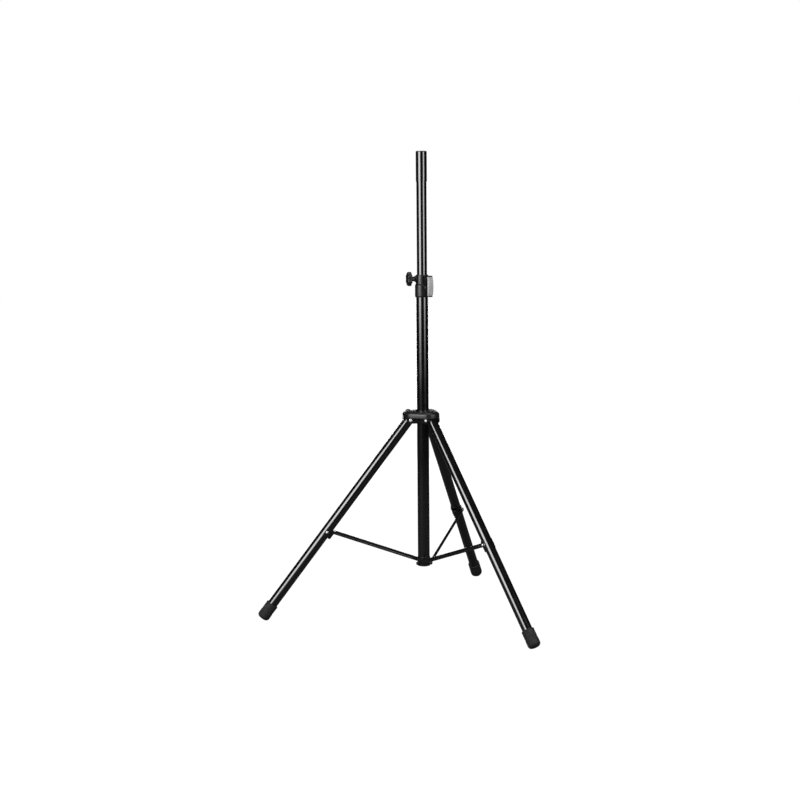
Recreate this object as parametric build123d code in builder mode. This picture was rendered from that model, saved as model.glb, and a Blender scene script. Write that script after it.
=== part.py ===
from build123d import *
import os
from math import asin, cos, degrees, radians, sin, sqrt

# Folding loudspeaker stand on three legs. The origin lies on the floor, on the axis of the
# mast, and +Z is up. Leg 1 points along +X, and the others follow every 120 degrees.

# ---- legs -------------------------------------------------------------------------------
LEG_COUNT = 3
LEG_DIAMETER = 35.0
LEG_WALL = 1.5
LEG_REACH = 869.0          # from the hub pivot to the end of the boot, along the leg
LEG_TILT = 37.4            # from the vertical, with the legs spread
LEG_TILT_FOLDED = 1.5      # the same, with the stand folded
LEG_HEAD = 8.0             # tube above the hub pivot
PLUG_FLANGE = 2.0
PLUG_DEPTH = 40.0

BOOT_DIAMETER = 44.0
BOOT_LENGTH = 62.0
BOOT_FLOOR = 9.0           # rubber under the end of the tube
BOOT_ROUNDING = 12.0
BOOT_LIP_ROUNDING = 2.0    # round the top edge
SOLE_FLAT = 2.0            # how much of the rounding is cut off where the boot meets the floor

# ---- braces -----------------------------------------------------------------------------
BRACE_POINT = 488.5        # from the hub pivot to the brace's bolt, along the leg
BRACE_LENGTH = 367.0       # between its two bolts
BRACE_HEIGHT = 14.6
BRACE_THICKNESS = 3.0
BRACE_RIB_WIDTH = 5.0
BRACE_RIB_HEIGHT = 1.2
BRACE_RIB_END = 22.0       # from each bolt to the end of the rib

SADDLE_WALL = 2.4
SADDLE_LENGTH = 34.0
SADDLE_TIP_RADIUS = 9.0
SADDLE_DEPTH = 27.5        # from the leg's axis to the underside of the saddle
SADDLE_LIP = 7.0           # how far its sides reach past the leg's axis
SPACER_THICKNESS = 2.0       # the least; a thicker one reaches out as far as the collar
SPACER_RADIUS = 6.5

# ---- mast -------------------------------------------------------------------------------
OUTER_DIAMETER = 42.0
OUTER_WALL = 1.5
OUTER_LENGTH = 990.0
INNER_DIAMETER = 35.0
INNER_WALL = 1.5
INNER_LENGTH = 1107.0
POLE_HEIGHT = 320.0        # from the top of the housing up to the shoulder of the pole sleeve
SLEEVE_DIAMETER = 38.0
SLEEVE_LENGTH = 100.5
CAP_THICKNESS = 3.0
CAP_SPIGOT = 25.0
INDEX_HOLE_DIAMETER = 11.0
INDEX_AZIMUTH = 10.0
INDEX_FIRST = 189.0        # from the shoulder down to the first hole
INDEX_PITCH = 120.0
INDEX_COUNT = 6
GUIDE_LENGTH = 30.0

# ---- foot of the mast -------------------------------------------------------------------
COLLAR_WALL = 1.3
COLLAR_HEIGHT = 31.0
COLLAR_DROP = 9.0          # from the brace bolts down to the collar's lower edge
COLLAR_BOLT_START = 10.0   # from the mast's axis to the inner end of a collar bolt
END_PLUG_HEIGHT = 22.0
END_PLUG_FLANGE = 1.5

# ---- clamp housing ----------------------------------------------------------------------
HOUSING_HEIGHT = 76.4
HOUSING_GRIP = 41.4        # how much of the outer tube it covers
HOUSING_WALL = 3.6
HOUSING_NECK_WALL = 2.9
HOUSING_TAPER = 5.0
BUSH_WALL = 1.25
BUSH_FLANGE = 1.5
BLOCK_REACH = 43.0         # from the mast's axis to the face under the cover plate
BLOCK_WIDTH = 22.0
BLOCK_HEIGHT = 73.0
BLOCK_LIP = 3.0
BLOCK_LIP_REACH = 3.5
SPLIT_WIDTH = 3.0
PLATE_EDGE = 2.5           # thickness of the cover plate at its two ends
PLATE_CROWN = 7.0          # the same in the middle of its bulge
PLATE_ROUNDING = 1.2
BLOCK_BOLT_REACH = 32.0
BLOCK_BOLT_DROP = 4.0      # below the middle of the block

# ---- hub --------------------------------------------------------------------------------
HUB_WEB = 9.5              # between the outer tube and a leg that hangs straight down
LINER_WALL = 1.4
YOKE_WALL = 2.4
EAR_THICKNESS = 8.0
EAR_ROUNDING = 13.0
EAR_INNER_END = 8.0
YOKE_PLATE = 4.0
HUB_HEADROOM = 22.6        # from the leg pivots up to the underside of the yoke's plate
CAP_OVERHANG = 14.2        # the cap's rim outside the ears
CAP_NOSE = 20.8            # the cap's rim beyond the leg pivots
CAP_WALL = 2.4
CAP_SKIRT = 7.5            # from the leg pivots up to the cap's rim
CAP_EDGE = 8.0

# ---- bolts, screws and knobs ------------------------------------------------------------
PIVOT_RADIUS = 4.0
PIVOT_HEAD_RADIUS = 6.0
PIVOT_HEAD_HEIGHT = 3.8
PIVOT_NUT_HEIGHT = 5.0
RIVET_RADIUS = 3.0
RIVET_HEAD_RADIUS = 4.8
RIVET_HEAD_HEIGHT = 3.2
SADDLE_HEAD_HEIGHT = 4.4   # on the plain side of a saddle
COLLAR_HEAD_HEIGHT = 5.0   # on the bolts in the collar
HEAD_ROUNDING = 1.1        # round the rims of bolt and rivet heads
EDGE_BREAK = 0.5           # chamfer on thin walls
SCREW_RADIUS = 5.0
SHOE_RADIUS = 4.6
SHOE_LENGTH = 3.0
KNOB_RADIUS = 24.5         # over the tips of its lobes
KNOB_BODY_RADIUS = 20.0    # between the lobes
KNOB_LOBE_RADIUS = 6.1
KNOB_LOBES = 6
KNOB_THICKNESS = 16.0
KNOB_STEM_RADIUS = 8.2
KNOB_STEM = 12.0
KNOB_TRAVEL = 3.5          # how far a knob backs out in two turns
BOSS_RADIUS = 11.2
CLAMP_BOSS_REACH = 25.5    # from the mast's axis to the end of the clamp screw's boss
LOCK_BOSS_REACH = 63.5     # the same at the hub
CLAMP_DROP = 13.0          # from the top of the housing down to the clamp screw
CLAMP_AZIMUTH = 244.0
LOCK_AZIMUTH = 180.0
LOCK_RISE = 1.5            # from the leg pivots up to the lock screw

# ---- fits and gaps ----------------------------------------------------------------------
RUNNING_GAP = 0.06         # radial, round a pivot
SLIDE_GAP = 0.1            # radial, between a bush or liner and the tube that slides in it
SEAT_GAP = 0.05            # radial, between pieces that are pressed or screwed together
SIDE_GAP = 0.4             # beside a leg, a brace or anything else that moves past
THREAD_GAP = 0.1           # radial, round a screw that turns in its boss

# ---- worked out from the sizes above ----------------------------------------------------
leg_radius = LEG_DIAMETER / 2
boot_radius = BOOT_DIAMETER / 2
outer_radius = OUTER_DIAMETER / 2
outer_bore = outer_radius - OUTER_WALL
inner_radius = INNER_DIAMETER / 2
inner_bore = inner_radius - INNER_WALL
sleeve_radius = SLEEVE_DIAMETER / 2
tilt = radians(LEG_TILT)

pivot_radius_from_mast = outer_radius + HUB_WEB + leg_radius
lowest_round = (LEG_REACH - BOOT_ROUNDING) * cos(tilt) + (boot_radius - BOOT_ROUNDING) * sin(tilt)
pivot_height = lowest_round + BOOT_ROUNDING - SOLE_FLAT

brace_out = pivot_radius_from_mast + BRACE_POINT * sin(tilt)
brace_top = pivot_height - BRACE_POINT * cos(tilt)
brace_foot = brace_top - sqrt(BRACE_LENGTH ** 2 - brace_out ** 2)
brace_slope = degrees(asin((brace_top - brace_foot) / BRACE_LENGTH))

collar_radius = outer_radius + SEAT_GAP + COLLAR_WALL
collar_bottom = brace_foot - COLLAR_DROP
saddle_side = leg_radius + SIDE_GAP + SADDLE_WALL
spacer_side = max(saddle_side + SPACER_THICKNESS, collar_radius)
spacer_thickness = spacer_side - saddle_side
brace_side = spacer_side + SIDE_GAP
brace_outside = brace_side + BRACE_THICKNESS

outer_bottom = collar_bottom
outer_top = outer_bottom + OUTER_LENGTH
housing_bottom = outer_top - HOUSING_GRIP
housing_top = housing_bottom + HOUSING_HEIGHT
housing_radius = outer_radius + SEAT_GAP + HOUSING_WALL
bush_bore = inner_radius + SLIDE_GAP
bush_radius = bush_bore + BUSH_WALL
neck_radius = bush_radius + SEAT_GAP + HOUSING_NECK_WALL
housing_middle = (housing_bottom + housing_top) / 2
block_bolt_height = housing_middle - BLOCK_BOLT_DROP
clamp_height = housing_top - CLAMP_DROP
shoulder = housing_top + POLE_HEIGHT
pole_top = shoulder + SLEEVE_LENGTH
inner_bottom = pole_top - INNER_LENGTH

liner_bore = outer_radius + SLIDE_GAP
liner_radius = liner_bore + LINER_WALL
yoke_bore = liner_radius + SEAT_GAP
yoke_radius = yoke_bore + YOKE_WALL
ear_inside = leg_radius + 2 * SIDE_GAP
ear_outside = ear_inside + EAR_THICKNESS
hub_bottom = pivot_height - EAR_ROUNDING
lock_height = pivot_height + LOCK_RISE
plate_bottom = pivot_height + HUB_HEADROOM
plate_top = plate_bottom + YOKE_PLATE
cap_lobe = ear_outside + CAP_OVERHANG
cap_lobe_centre = pivot_radius_from_mast + CAP_NOSE - cap_lobe
cap_rim = pivot_height + CAP_SKIRT
cap_ceiling = plate_top + SEAT_GAP
cap_top = cap_ceiling + CAP_WALL


def leg_azimuth(index):
    return 360.0 / LEG_COUNT * index


def radial(azimuth):
    return Vector(cos(radians(azimuth)), sin(radians(azimuth)), 0)


def sideways(azimuth):
    """The direction across a leg, towards the side that its brace is on."""
    return Vector(sin(radians(azimuth)), -cos(radians(azimuth)), 0)


def upright_plane(azimuth, side=0.0):
    """A vertical plane along an azimuth: x runs outwards, y up, and z sideways."""
    return Plane(origin=sideways(azimuth) * side, x_dir=radial(azimuth), z_dir=sideways(azimuth))


def leg_plane(azimuth, distance):
    """A plane across a leg, at a distance below its pivot: x is sideways, y out of its top."""
    down = radial(azimuth) * sin(tilt) - Vector(0, 0, cos(tilt))
    start = radial(azimuth) * pivot_radius_from_mast + Vector(0, 0, pivot_height)
    return Plane(origin=start + down * distance, x_dir=sideways(azimuth) * -1, z_dir=down)


def along_leg_plane(azimuth, distance):
    """The plane through a leg's axis that has its x down the leg, from a distance below its pivot."""
    across = leg_plane(azimuth, distance)
    return Plane(origin=across.origin, x_dir=across.z_dir, z_dir=across.x_dir)


def outward_plane(azimuth, height, distance):
    """A plane that faces away from the mast: its z runs outwards, and its y runs up."""
    origin = radial(azimuth) * distance + Vector(0, 0, height)
    return Plane(origin=origin, x_dir=sideways(azimuth) * -1, z_dir=radial(azimuth))


def across_plane(azimuth, distance, height, side):
    """A plane across the leg's direction at a point beside it: its z runs sideways."""
    origin = radial(azimuth) * distance + sideways(azimuth) * side + Vector(0, 0, height)
    return Plane(origin=origin, x_dir=radial(azimuth), z_dir=sideways(azimuth))


def finish(builder, name):
    """Label a finished sub-part and write it as its own STEP file."""
    builder.part.label = name
    export_step(builder.part, f"parts/{name}.step")


def ring(outside, inside, bottom, top):
    """Add an upright ring on the mast's axis to the part in hand."""
    with BuildSketch(Plane.XY.offset(bottom)) as section:
        Circle(outside)
        Circle(inside, mode=Mode.SUBTRACT)
    extrude(section.sketch, amount=top - bottom)


def rod(plane, radius, length, mode=Mode.ADD):
    """Add or cut a round rod that stands on a plane."""
    with BuildSketch(plane) as section:
        Circle(radius)
    extrude(section.sketch, amount=length, mode=mode)


def rounded_triangle(lobe_radius, lobe_centre):
    """Draw the hub's outline: the hull of three circles over the legs."""
    with PolarLocations(lobe_centre, LEG_COUNT):
        Circle(lobe_radius)
    make_hull()


def teardrop(side_radius, tip_radius, depth):
    """Draw a saddle's section: the hull of the leg's side circle and a small one below it."""
    Circle(side_radius)
    with Locations((0, tip_radius - depth)):
        Circle(tip_radius)
    make_hull()


os.makedirs("parts", exist_ok=True)

# ---- mast: outer tube -------------------------------------------------------------------
with BuildPart() as outer_tube:
    ring(outer_radius, outer_bore, outer_bottom, outer_top)
    for index in range(LEG_COUNT):
        rod(outward_plane(leg_azimuth(index) - 90, brace_foot, 0),
            PIVOT_RADIUS + SEAT_GAP, outer_radius * 2, Mode.SUBTRACT)
finish(outer_tube, "outer_tube")

# ---- foot of the mast: collar, solid plug and the three bolts that the braces turn on -----
with BuildPart() as bottom_collar:
    ring(collar_radius, outer_radius + SEAT_GAP, collar_bottom, collar_bottom + COLLAR_HEIGHT)
    chamfer(bottom_collar.edges().filter_by(GeomType.CIRCLE).group_by(SortBy.RADIUS)[-1],
            EDGE_BREAK)
    for index in range(LEG_COUNT):
        rod(outward_plane(leg_azimuth(index) - 90, brace_foot, 0),
            PIVOT_RADIUS + SEAT_GAP, outer_radius * 2, Mode.SUBTRACT)
finish(bottom_collar, "bottom_collar")

with BuildPart() as end_plug:
    rod(Plane.XY.offset(outer_bottom), outer_bore - SEAT_GAP, END_PLUG_HEIGHT)
    rod(Plane.XY.offset(outer_bottom - SEAT_GAP), collar_radius, -END_PLUG_FLANGE)
    rod(Plane.XY.offset(outer_bottom - SEAT_GAP), outer_bore - SEAT_GAP, SEAT_GAP)
    for index in range(LEG_COUNT):
        rod(outward_plane(leg_azimuth(index) - 90, brace_foot, COLLAR_BOLT_START),
            PIVOT_RADIUS + SEAT_GAP, outer_bore, Mode.SUBTRACT)
    fillet(end_plug.faces().sort_by(Axis.Z)[0].edges(), END_PLUG_FLANGE / 2)
finish(end_plug, "end_plug")

with BuildPart() as collar_bolts:
    for index in range(LEG_COUNT):
        side = leg_azimuth(index) - 90
        start = COLLAR_BOLT_START + SEAT_GAP
        head = brace_outside + SIDE_GAP
        rod(outward_plane(side, brace_foot, start), PIVOT_RADIUS, head - start)
        rod(outward_plane(side, brace_foot, head), PIVOT_HEAD_RADIUS, COLLAR_HEAD_HEIGHT)
    crowns = collar_bolts.edges().filter_by(GeomType.CIRCLE).filter_by(
        lambda edge: edge.radius > PIVOT_RADIUS + SEAT_GAP
        and Vector(edge.arc_center.X, edge.arc_center.Y, 0).length > head + SEAT_GAP)
    fillet(crowns, HEAD_ROUNDING)
finish(collar_bolts, "collar_bolts")

# ---- clamp housing on the outer tube ------------------------------------------------------
split_block = Plane.XY.offset(housing_middle - BLOCK_HEIGHT / 2)
block_ends = outer_radius + HOUSING_WALL / 2

with BuildPart() as clamp_housing:
    with BuildSketch(Plane.XZ):
        with BuildLine():
            Polyline(
                (outer_radius + SEAT_GAP, housing_bottom),
                (housing_radius - HEAD_ROUNDING, housing_bottom),
                (housing_radius, housing_bottom + HOUSING_TAPER),
                (housing_radius, outer_top),
                (neck_radius, outer_top + HOUSING_TAPER),
                (neck_radius, housing_top),
                (bush_radius + SEAT_GAP, housing_top),
                (bush_radius + SEAT_GAP, outer_top + SEAT_GAP),
                (outer_radius + SEAT_GAP, outer_top + SEAT_GAP),
                close=True)
        make_face()
    revolve(axis=Axis.Z)
    # the boss that the clamp screw turns in
    rod(outward_plane(CLAMP_AZIMUTH, clamp_height, neck_radius - HOUSING_NECK_WALL / 2),
        BOSS_RADIUS, CLAMP_BOSS_REACH - neck_radius + HOUSING_NECK_WALL / 2)
    # the split block, with a lip above and below its cover plate
    with BuildSketch(split_block):
        with Locations(((BLOCK_REACH + block_ends) / 2, 0)):
            Rectangle(BLOCK_REACH - block_ends, BLOCK_WIDTH)
    extrude(amount=BLOCK_HEIGHT)
    for lip in (housing_middle - BLOCK_HEIGHT / 2, housing_middle + BLOCK_HEIGHT / 2 - BLOCK_LIP):
        with BuildSketch(Plane.XY.offset(lip)):
            with Locations(((BLOCK_REACH + BLOCK_LIP_REACH + block_ends) / 2, 0)):
                RectangleRounded(BLOCK_REACH + BLOCK_LIP_REACH - block_ends, BLOCK_WIDTH,
                                 BLOCK_LIP_REACH)
        extrude(amount=BLOCK_LIP)
    with BuildSketch(Plane.XY.offset(outer_top)):
        Circle(bush_radius + SEAT_GAP)
    extrude(amount=HOUSING_HEIGHT, mode=Mode.SUBTRACT)
    with BuildSketch(Plane.XY.offset(housing_bottom)):
        Circle(outer_radius + SEAT_GAP)
    extrude(amount=HOUSING_GRIP + SEAT_GAP, mode=Mode.SUBTRACT)
    with BuildSketch(Plane.XY.offset(housing_bottom)):
        with Locations((BLOCK_REACH / 2 + inner_radius / 2, 0)):
            Rectangle(BLOCK_REACH + 2 * BLOCK_LIP_REACH - inner_radius, SPLIT_WIDTH)
    extrude(amount=HOUSING_HEIGHT, mode=Mode.SUBTRACT)
    rod(outward_plane(CLAMP_AZIMUTH, clamp_height, 0),
        SCREW_RADIUS + THREAD_GAP, CLAMP_BOSS_REACH * 2, Mode.SUBTRACT)
    rod(across_plane(0, BLOCK_BOLT_REACH, block_bolt_height, -BLOCK_WIDTH),
        RIVET_RADIUS + SEAT_GAP, 2 * BLOCK_WIDTH, Mode.SUBTRACT)
finish(clamp_housing, "clamp_housing")

with BuildPart() as housing_bush:
    ring(bush_radius, bush_bore, outer_top + 2 * SEAT_GAP, housing_top)
    ring(neck_radius - BUSH_FLANGE, bush_bore, housing_top + SEAT_GAP,
         housing_top + SEAT_GAP + BUSH_FLANGE)
    ring(bush_radius, bush_bore, housing_top - SEAT_GAP, housing_top + BUSH_FLANGE)
    rod(outward_plane(CLAMP_AZIMUTH, clamp_height, 0),
        SHOE_RADIUS + THREAD_GAP, neck_radius * 2, Mode.SUBTRACT)
    chamfer(housing_bush.faces().sort_by(Axis.Z)[-1].outer_wire().edges(), EDGE_BREAK)
finish(housing_bush, "housing_bush")

with BuildPart() as block_bolt:
    half = BLOCK_WIDTH / 2 + SEAT_GAP
    rod(across_plane(0, BLOCK_BOLT_REACH, block_bolt_height, -half), RIVET_RADIUS, 2 * half)
    for side, height in ((-half, -RIVET_HEAD_HEIGHT), (half, RIVET_HEAD_HEIGHT)):
        rod(across_plane(0, BLOCK_BOLT_REACH, block_bolt_height, side),
            RIVET_HEAD_RADIUS, height)
    for end in (0, -1):
        fillet(block_bolt.faces().sort_by(Axis.Y)[end].edges(), HEAD_ROUNDING)
finish(block_bolt, "block_bolt")

plate_half = BLOCK_HEIGHT / 2 - BLOCK_LIP - SIDE_GAP
plate_back = BLOCK_REACH + SEAT_GAP
with BuildPart() as cover_plate:
    with BuildSketch(upright_plane(0, -BLOCK_WIDTH / 2)):
        with BuildLine():
            Polyline(
                (plate_back + PLATE_EDGE, housing_middle - plate_half),
                (plate_back, housing_middle - plate_half),
                (plate_back, housing_middle + plate_half),
                (plate_back + PLATE_EDGE, housing_middle + plate_half))
            ThreePointArc(
                (plate_back + PLATE_EDGE, housing_middle + plate_half),
                (plate_back + PLATE_CROWN, housing_middle),
                (plate_back + PLATE_EDGE, housing_middle - plate_half))
        make_face()
    extrude(amount=BLOCK_WIDTH)
    fillet(cover_plate.faces().sort_by(Axis.X)[-1].edges(), PLATE_ROUNDING)
finish(cover_plate, "cover_plate")

# ---- inner mast ---------------------------------------------------------------------------
with BuildPart() as inner_tube:
    ring(inner_radius, inner_bore, inner_bottom, pole_top)
    for index in range(INDEX_COUNT):
        rod(outward_plane(INDEX_AZIMUTH, shoulder - INDEX_FIRST - index * INDEX_PITCH,
                          -INNER_DIAMETER), INDEX_HOLE_DIAMETER / 2, 2 * INNER_DIAMETER,
            Mode.SUBTRACT)
finish(inner_tube, "inner_tube")

with BuildPart() as pole_sleeve:
    ring(sleeve_radius, inner_radius + SEAT_GAP, shoulder, pole_top)
finish(pole_sleeve, "pole_sleeve")

with BuildPart() as pole_cap:
    rod(Plane.XY.offset(pole_top + SEAT_GAP), sleeve_radius - SIDE_GAP, CAP_THICKNESS)
    rod(Plane.XY.offset(pole_top + SEAT_GAP), inner_bore - SEAT_GAP, -CAP_SPIGOT)
    fillet(pole_cap.faces().sort_by(Axis.Z)[-1].edges(), CAP_THICKNESS / 2)
    chamfer(pole_cap.faces().sort_by(Axis.Z)[0].edges(), INNER_WALL)
finish(pole_cap, "pole_cap")

with BuildPart() as guide_bush:
    ring(outer_bore - SLIDE_GAP, inner_radius + SEAT_GAP, inner_bottom, inner_bottom + GUIDE_LENGTH)
    ring(outer_bore - SLIDE_GAP, inner_bore, inner_bottom - BUSH_FLANGE, inner_bottom - SEAT_GAP)
    ring(outer_bore - SLIDE_GAP, inner_radius + SEAT_GAP, inner_bottom - SEAT_GAP, inner_bottom)
    chamfer(guide_bush.faces().sort_by(Axis.Z)[-1].outer_wire().edges(), EDGE_BREAK)
finish(guide_bush, "guide_bush")

# ---- hub that slides on the outer tube -----------------------------------------------------
cap_step = cap_top - CAP_EDGE
with BuildPart() as under_cap:
    rod(Plane.XY.offset(hub_bottom), cap_lobe * 2, cap_rim - SIDE_GAP - hub_bottom)
    with BuildSketch(Plane.XY.offset(hub_bottom)):
        rounded_triangle(cap_lobe - CAP_WALL - SIDE_GAP, cap_lobe_centre)
    extrude(amount=cap_step - SIDE_GAP - hub_bottom)
    with BuildSketch(Plane.XY.offset(hub_bottom)):
        rounded_triangle(cap_lobe - CAP_EDGE - SIDE_GAP, cap_lobe_centre)
    extrude(amount=plate_top - hub_bottom)

with BuildPart() as hub_yoke:
    ring(yoke_radius, yoke_bore, hub_bottom, plate_top)
    # the ears that the legs turn between
    for index in range(LEG_COUNT):
        for side in (ear_inside, -ear_outside):
            with BuildSketch(upright_plane(leg_azimuth(index), side)):
                with Locations((pivot_radius_from_mast, pivot_height)):
                    Circle(EAR_ROUNDING)
                with BuildLine():
                    Polyline(
                        (EAR_INNER_END, hub_bottom),
                        (pivot_radius_from_mast, hub_bottom),
                        (pivot_radius_from_mast + EAR_ROUNDING, pivot_height),
                        (pivot_radius_from_mast + EAR_THICKNESS, cap_rim),
                        (pivot_radius_from_mast + EAR_THICKNESS, plate_bottom),
                        (EAR_INNER_END, plate_bottom),
                        close=True)
                make_face()
            extrude(amount=EAR_THICKNESS)
    # the plate over them
    with BuildSketch(Plane.XY.offset(plate_bottom)):
        rounded_triangle(cap_lobe - CAP_WALL, cap_lobe_centre)
        Circle(yoke_bore, mode=Mode.SUBTRACT)
    extrude(amount=YOKE_PLATE)
    add(under_cap.part, mode=Mode.INTERSECT)
    # the boss for the lock screw, which comes out through a notch in the cap
    rod(outward_plane(LOCK_AZIMUTH, lock_height, yoke_bore + YOKE_WALL / 2),
        BOSS_RADIUS, LOCK_BOSS_REACH - yoke_bore - YOKE_WALL / 2)
    rod(Plane.XY.offset(hub_bottom), yoke_bore, plate_top - hub_bottom, Mode.SUBTRACT)
    rod(outward_plane(LOCK_AZIMUTH, lock_height, 0),
        SCREW_RADIUS + THREAD_GAP, LOCK_BOSS_REACH * 2, Mode.SUBTRACT)
    for index in range(LEG_COUNT):
        rod(across_plane(leg_azimuth(index), pivot_radius_from_mast, pivot_height, -BOOT_DIAMETER),
            PIVOT_RADIUS + SEAT_GAP, 2 * BOOT_DIAMETER, Mode.SUBTRACT)
finish(hub_yoke, "hub_yoke")

with BuildPart() as hub_liner:
    ring(liner_radius, liner_bore, hub_bottom, plate_top)
    rod(outward_plane(LOCK_AZIMUTH, lock_height, 0),
        SHOE_RADIUS + THREAD_GAP, yoke_radius * 2, Mode.SUBTRACT)
finish(hub_liner, "hub_liner")

with BuildPart() as hub_cap:
    with BuildSketch(Plane.XY.offset(cap_rim)):
        rounded_triangle(cap_lobe, cap_lobe_centre)
    extrude(amount=cap_top - cap_rim)
    fillet(hub_cap.faces().sort_by(Axis.Z)[-1].edges(), CAP_EDGE)
    with BuildSketch(Plane.XY.offset(cap_rim)):
        rounded_triangle(cap_lobe - CAP_WALL, cap_lobe_centre)
    extrude(amount=cap_step - cap_rim, mode=Mode.SUBTRACT)
    with BuildSketch(Plane.XY.offset(cap_rim)):
        rounded_triangle(cap_lobe - CAP_EDGE, cap_lobe_centre)
    extrude(amount=cap_ceiling - cap_rim, mode=Mode.SUBTRACT)
    rod(Plane.XY.offset(cap_rim), outer_radius + SIDE_GAP, cap_top, Mode.SUBTRACT)
    rod(outward_plane(LOCK_AZIMUTH, lock_height, outer_radius),
        BOSS_RADIUS + SIDE_GAP, LOCK_BOSS_REACH, Mode.SUBTRACT)
finish(hub_cap, "hub_cap")

with BuildPart() as leg_pivot_bolts:
    for index in range(LEG_COUNT):
        azimuth = leg_azimuth(index)
        side = ear_outside + SEAT_GAP
        rod(across_plane(azimuth, pivot_radius_from_mast, pivot_height, -side - PIVOT_NUT_HEIGHT),
            PIVOT_RADIUS, 2 * side + PIVOT_NUT_HEIGHT)
        rod(across_plane(azimuth, pivot_radius_from_mast, pivot_height, side),
            PIVOT_HEAD_RADIUS, PIVOT_HEAD_HEIGHT)
finish(leg_pivot_bolts, "leg_pivot_bolts")

with BuildPart() as leg_pivot_nuts:
    for index in range(LEG_COUNT):
        side = -ear_outside - SEAT_GAP
        nut_plane = across_plane(leg_azimuth(index), pivot_radius_from_mast, pivot_height, side)
        with BuildSketch(nut_plane):
            RegularPolygon(PIVOT_HEAD_RADIUS, 6)
            Circle(PIVOT_RADIUS + SEAT_GAP, mode=Mode.SUBTRACT)
        extrude(amount=-PIVOT_NUT_HEIGHT)
finish(leg_pivot_nuts, "leg_pivot_nuts")

# ---- legs -----------------------------------------------------------------------------------
for index in range(LEG_COUNT):
    azimuth = leg_azimuth(index)
    leg = f"leg_{index + 1}"
    tube_end = LEG_REACH - BOOT_FLOOR
    boot_start = LEG_REACH - BOOT_LENGTH
    bolt_side = saddle_side

    with BuildPart() as leg_tube:
        with BuildSketch(leg_plane(azimuth, -LEG_HEAD)):
            Circle(leg_radius)
            Circle(leg_radius - LEG_WALL, mode=Mode.SUBTRACT)
        extrude(amount=tube_end + LEG_HEAD)
        rod(across_plane(azimuth, pivot_radius_from_mast, pivot_height, -LEG_DIAMETER),
            PIVOT_RADIUS + RUNNING_GAP, 2 * LEG_DIAMETER, Mode.SUBTRACT)
        rod(across_plane(azimuth, brace_out, brace_top, -LEG_DIAMETER),
            RIVET_RADIUS + SEAT_GAP, 2 * LEG_DIAMETER, Mode.SUBTRACT)
    finish(leg_tube, f"{leg}_tube")

    with BuildPart() as leg_plug:
        rod(leg_plane(azimuth, -LEG_HEAD - SEAT_GAP - PLUG_FLANGE), leg_radius, PLUG_FLANGE)
        rod(leg_plane(azimuth, -LEG_HEAD - SEAT_GAP), leg_radius - LEG_WALL - SEAT_GAP,
            PLUG_DEPTH)
        rod(across_plane(azimuth, pivot_radius_from_mast, pivot_height, -LEG_DIAMETER),
            PIVOT_RADIUS + RUNNING_GAP, 2 * LEG_DIAMETER, Mode.SUBTRACT)
    finish(leg_plug, f"{leg}_plug")

    boot_plane = along_leg_plane(azimuth, boot_start)
    with BuildPart() as boot:
        with BuildSketch(boot_plane):
            with BuildLine():
                Polyline(
                    (BOOT_LENGTH - BOOT_ROUNDING, boot_radius),
                    (BOOT_LIP_ROUNDING, boot_radius),
                    (0, boot_radius - BOOT_LIP_ROUNDING),
                    (0, 0),
                    (BOOT_LENGTH, 0),
                    (BOOT_LENGTH, boot_radius - BOOT_ROUNDING))
                RadiusArc(
                    (BOOT_LENGTH - BOOT_ROUNDING, boot_radius),
                    (BOOT_LENGTH, boot_radius - BOOT_ROUNDING),
                    BOOT_ROUNDING)
            make_face()
        revolve(axis=Axis(boot_plane.origin, boot_plane.x_dir))
        rod(leg_plane(azimuth, boot_start), leg_radius + SEAT_GAP,
            BOOT_LENGTH - BOOT_FLOOR + SEAT_GAP, Mode.SUBTRACT)
        split(bisect_by=Plane.XY, keep=Keep.TOP)
    finish(boot, f"{leg}_boot")

    with BuildPart() as saddle:
        with BuildSketch(leg_plane(azimuth, BRACE_POINT - SADDLE_LENGTH / 2)):
            teardrop(saddle_side, SADDLE_TIP_RADIUS, SADDLE_DEPTH)
        extrude(amount=SADDLE_LENGTH)
        with BuildSketch(leg_plane(azimuth, BRACE_POINT - SADDLE_LENGTH / 2)):
            teardrop(saddle_side - SADDLE_WALL, SADDLE_TIP_RADIUS - SADDLE_WALL,
                     SADDLE_DEPTH - SADDLE_WALL)
            with Locations((0, SADDLE_LIP + LEG_DIAMETER / 2)):
                Rectangle(2 * LEG_DIAMETER, LEG_DIAMETER)
        extrude(amount=SADDLE_LENGTH, mode=Mode.SUBTRACT)
        rod(across_plane(azimuth, brace_out, brace_top, -LEG_DIAMETER),
            RIVET_RADIUS + SEAT_GAP, 2 * LEG_DIAMETER, Mode.SUBTRACT)
    finish(saddle, f"{leg}_saddle")

    with BuildPart() as saddle_rivet:
        rod(across_plane(azimuth, brace_out, brace_top, -bolt_side - SEAT_GAP),
            RIVET_RADIUS, 2 * bolt_side + spacer_thickness + SEAT_GAP)
        rod(across_plane(azimuth, brace_out, brace_top, -bolt_side - SEAT_GAP),
            RIVET_HEAD_RADIUS, -SADDLE_HEAD_HEIGHT)
        rod(across_plane(azimuth, brace_out, brace_top, bolt_side + SEAT_GAP),
            SPACER_RADIUS, spacer_thickness - SEAT_GAP)
    finish(saddle_rivet, f"{leg}_saddle_rivet")

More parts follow.
